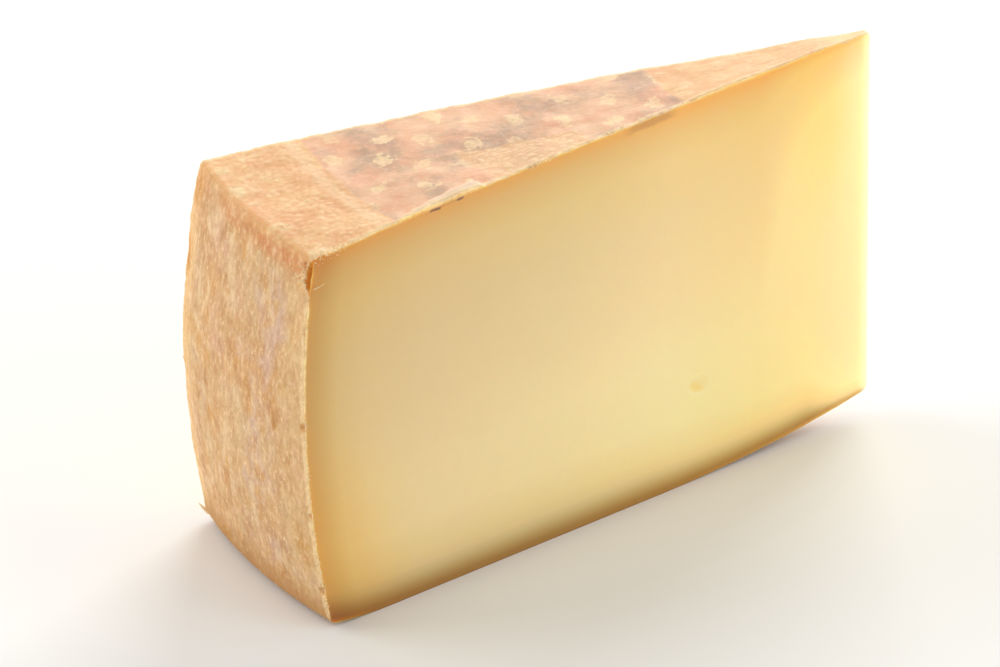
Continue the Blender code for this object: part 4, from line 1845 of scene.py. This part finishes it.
def add_sliver(mesh, root, way, length, half_width, number):
    """A curved, tapered sliver that starts inside the rind."""
    across = way.orthogonal().normalized()
    third = way.cross(across)
    loops = []
    for ring in range(SLIVER_RINGS + 1):
        share = ring / SLIVER_RINGS
        bend = across * (0.22 * length * share**2)
        middle = root + way * (share * (length + SLIVER_ROOT) - SLIVER_ROOT) + bend
        half = half_width * (1 - share) ** 0.7 + 0.03 * MM
        wobble = 1 + 0.25 * noise.noise(Vector((3.1 * number, 5 * share, 0.4)))
        loop = []
        for corner in range(SLIVER_CORNERS):
            turn = corner / SLIVER_CORNERS * 2 * math.pi
            loop.append(
                mesh.verts.new(
                    middle
                    + across * (half * wobble * math.cos(turn))
                    + third * (0.40 * half * wobble * math.sin(turn))
                )
            )
        loops.append(loop)
    for first, second in zip(loops[:-1], loops[1:]):
        for corner in range(SLIVER_CORNERS):
            after = (corner + 1) % SLIVER_CORNERS
            mesh.faces.new((first[corner], first[after], second[after], second[corner]))
    mesh.faces.new(loops[0][::-1])
    mesh.faces.new(loops[-1])


class CHEESE_OT_stage(bpy.types.Operator):
    """Makes the pale floor, the soft studio light and the camera"""

    bl_idname = "cheese.stage"
    bl_label = "Stage"

    def execute(self, context):
        scene = context.scene
        stage = scene.cheese_stage
        scene.view_settings.view_transform = "Standard"
        make_floor(scene, stage)
        make_surround(scene, stage)
        make_light(scene, "key_light", (0.95, 1.0, 0.62), 0.9, stage.key_power)
        make_light(scene, "front_light", (0.62, -0.78, 0.20), 0.6, stage.front_power)
        make_light(scene, "fill_light", (-1.05, 0.80, 0.60), 1.0, stage.fill_power)
        make_camera(scene)
        return {"FINISHED"}


def make_floor(scene, stage):
    """Matt white card under the wedge: it takes soft shadows and has no gloss."""
    half = 4.0
    mesh = bpy.data.meshes.new("floor")
    corners = [(-half, -half, 0), (half, -half, 0), (half, half, 0), (-half, half, 0)]
    mesh.from_pydata(corners, [], [(0, 1, 2, 3)])
    material, tree, shader = new_finish("matt_white_card")
    set_inputs(tree, shader, {"Base Color": stage.floor, "Roughness": 0.85, "IOR": 1.4})
    mesh.materials.append(material)
    floor = bpy.data.objects.new("floor", mesh)
    scene.collection.objects.link(floor)


def make_surround(scene, stage):
    """Even white light from all round, which fills the shadows."""
    world = bpy.data.worlds.new("white_surround")
    world.use_nodes = True
    background = world.node_tree.nodes["Background"]
    background.inputs["Color"].default_value = (1.0, 1.0, 1.0, 1.0)
    background.inputs["Strength"].default_value = stage.surround
    scene.world = world


def make_light(scene, name, place, size, power):
    """A square soft light that faces the wedge."""
    data = bpy.data.lights.new(name, "AREA")
    data.shape = "SQUARE"
    data.size = size
    data.energy = power
    light = bpy.data.objects.new(name, data)
    scene.collection.objects.link(light)
    light.location = place
    away = light.location - CAMERA_TARGET
    light.rotation_euler = away.to_track_quat("Z", "Y").to_euler()


def make_camera(scene):
    """The photograph's view: from the heel's side of the near cut, looking down."""
    flat = math.cos(CAMERA_ELEVATION)
    back = Vector(
        (
            math.sin(CAMERA_AZIMUTH) * flat,
            -math.cos(CAMERA_AZIMUTH) * flat,
            math.sin(CAMERA_ELEVATION),
        )
    )
    level = Vector((math.cos(CAMERA_AZIMUTH), math.sin(CAMERA_AZIMUTH), 0.0))
    turn = Matrix.Rotation(CAMERA_ROLL, 3, back)
    right = turn @ level
    up = turn @ back.cross(level)
    data = bpy.data.cameras.new("camera")
    data.lens = CAMERA_LENS
    data.sensor_width = 36.0
    data.clip_end = 20.0
    camera = bpy.data.objects.new("camera", data)
    scene.collection.objects.link(camera)
    target = CAMERA_TARGET + right * CAMERA_SHIFT[0] + up * CAMERA_SHIFT[1]
    place = Matrix.Translation(target + back * CAMERA_DISTANCE)
    camera.matrix_world = place @ Matrix((right, up, back)).transposed().to_4x4()
    scene.camera = camera


class CHEESE_PT_panel(bpy.types.Panel):
    """Lists the pieces and their settings in the sidebar"""

    bl_idname = "CHEESE_PT_panel"
    bl_label = "Cheese wedge"
    bl_space_type = "VIEW_3D"
    bl_region_type = "UI"
    bl_category = "Cheese"

    def draw(self, context):
        for operator in OPERATORS:
            self.layout.operator(operator.bl_idname)
        for name, group in SETTINGS.items():
            box = self.layout.box()
            for field_name in group.__annotations__:
                box.prop(getattr(context.scene, name), field_name)


OPERATORS = (
    CHEESE_OT_stage,
    CHEESE_OT_body,
    CHEESE_OT_scales,
    CHEESE_OT_flakes,
    CHEESE_OT_slivers,
)


def register():
    """Adds the settings, the operators and the panel to Blender."""
    for group in SETTINGS.values():
        bpy.utils.register_class(group)
    for operator in OPERATORS:
        bpy.utils.register_class(operator)
    bpy.utils.register_class(CHEESE_PT_panel)
    for name, group in SETTINGS.items():
        setattr(bpy.types.Scene, name, PointerProperty(type=group))


def unregister():
    """Takes out what register added, in the opposite order."""
    for name in SETTINGS:
        delattr(bpy.types.Scene, name)
    bpy.utils.unregister_class(CHEESE_PT_panel)
    for operator in reversed(OPERATORS):
        bpy.utils.unregister_class(operator)
    for group in reversed(SETTINGS.values()):
        bpy.utils.unregister_class(group)


def main():
    register()
    bpy.ops.cheese.stage()
    bpy.ops.cheese.body()
    bpy.ops.cheese.scales()
    bpy.ops.cheese.flakes()
    bpy.ops.cheese.slivers()


if __name__ == "__main__":
    main()
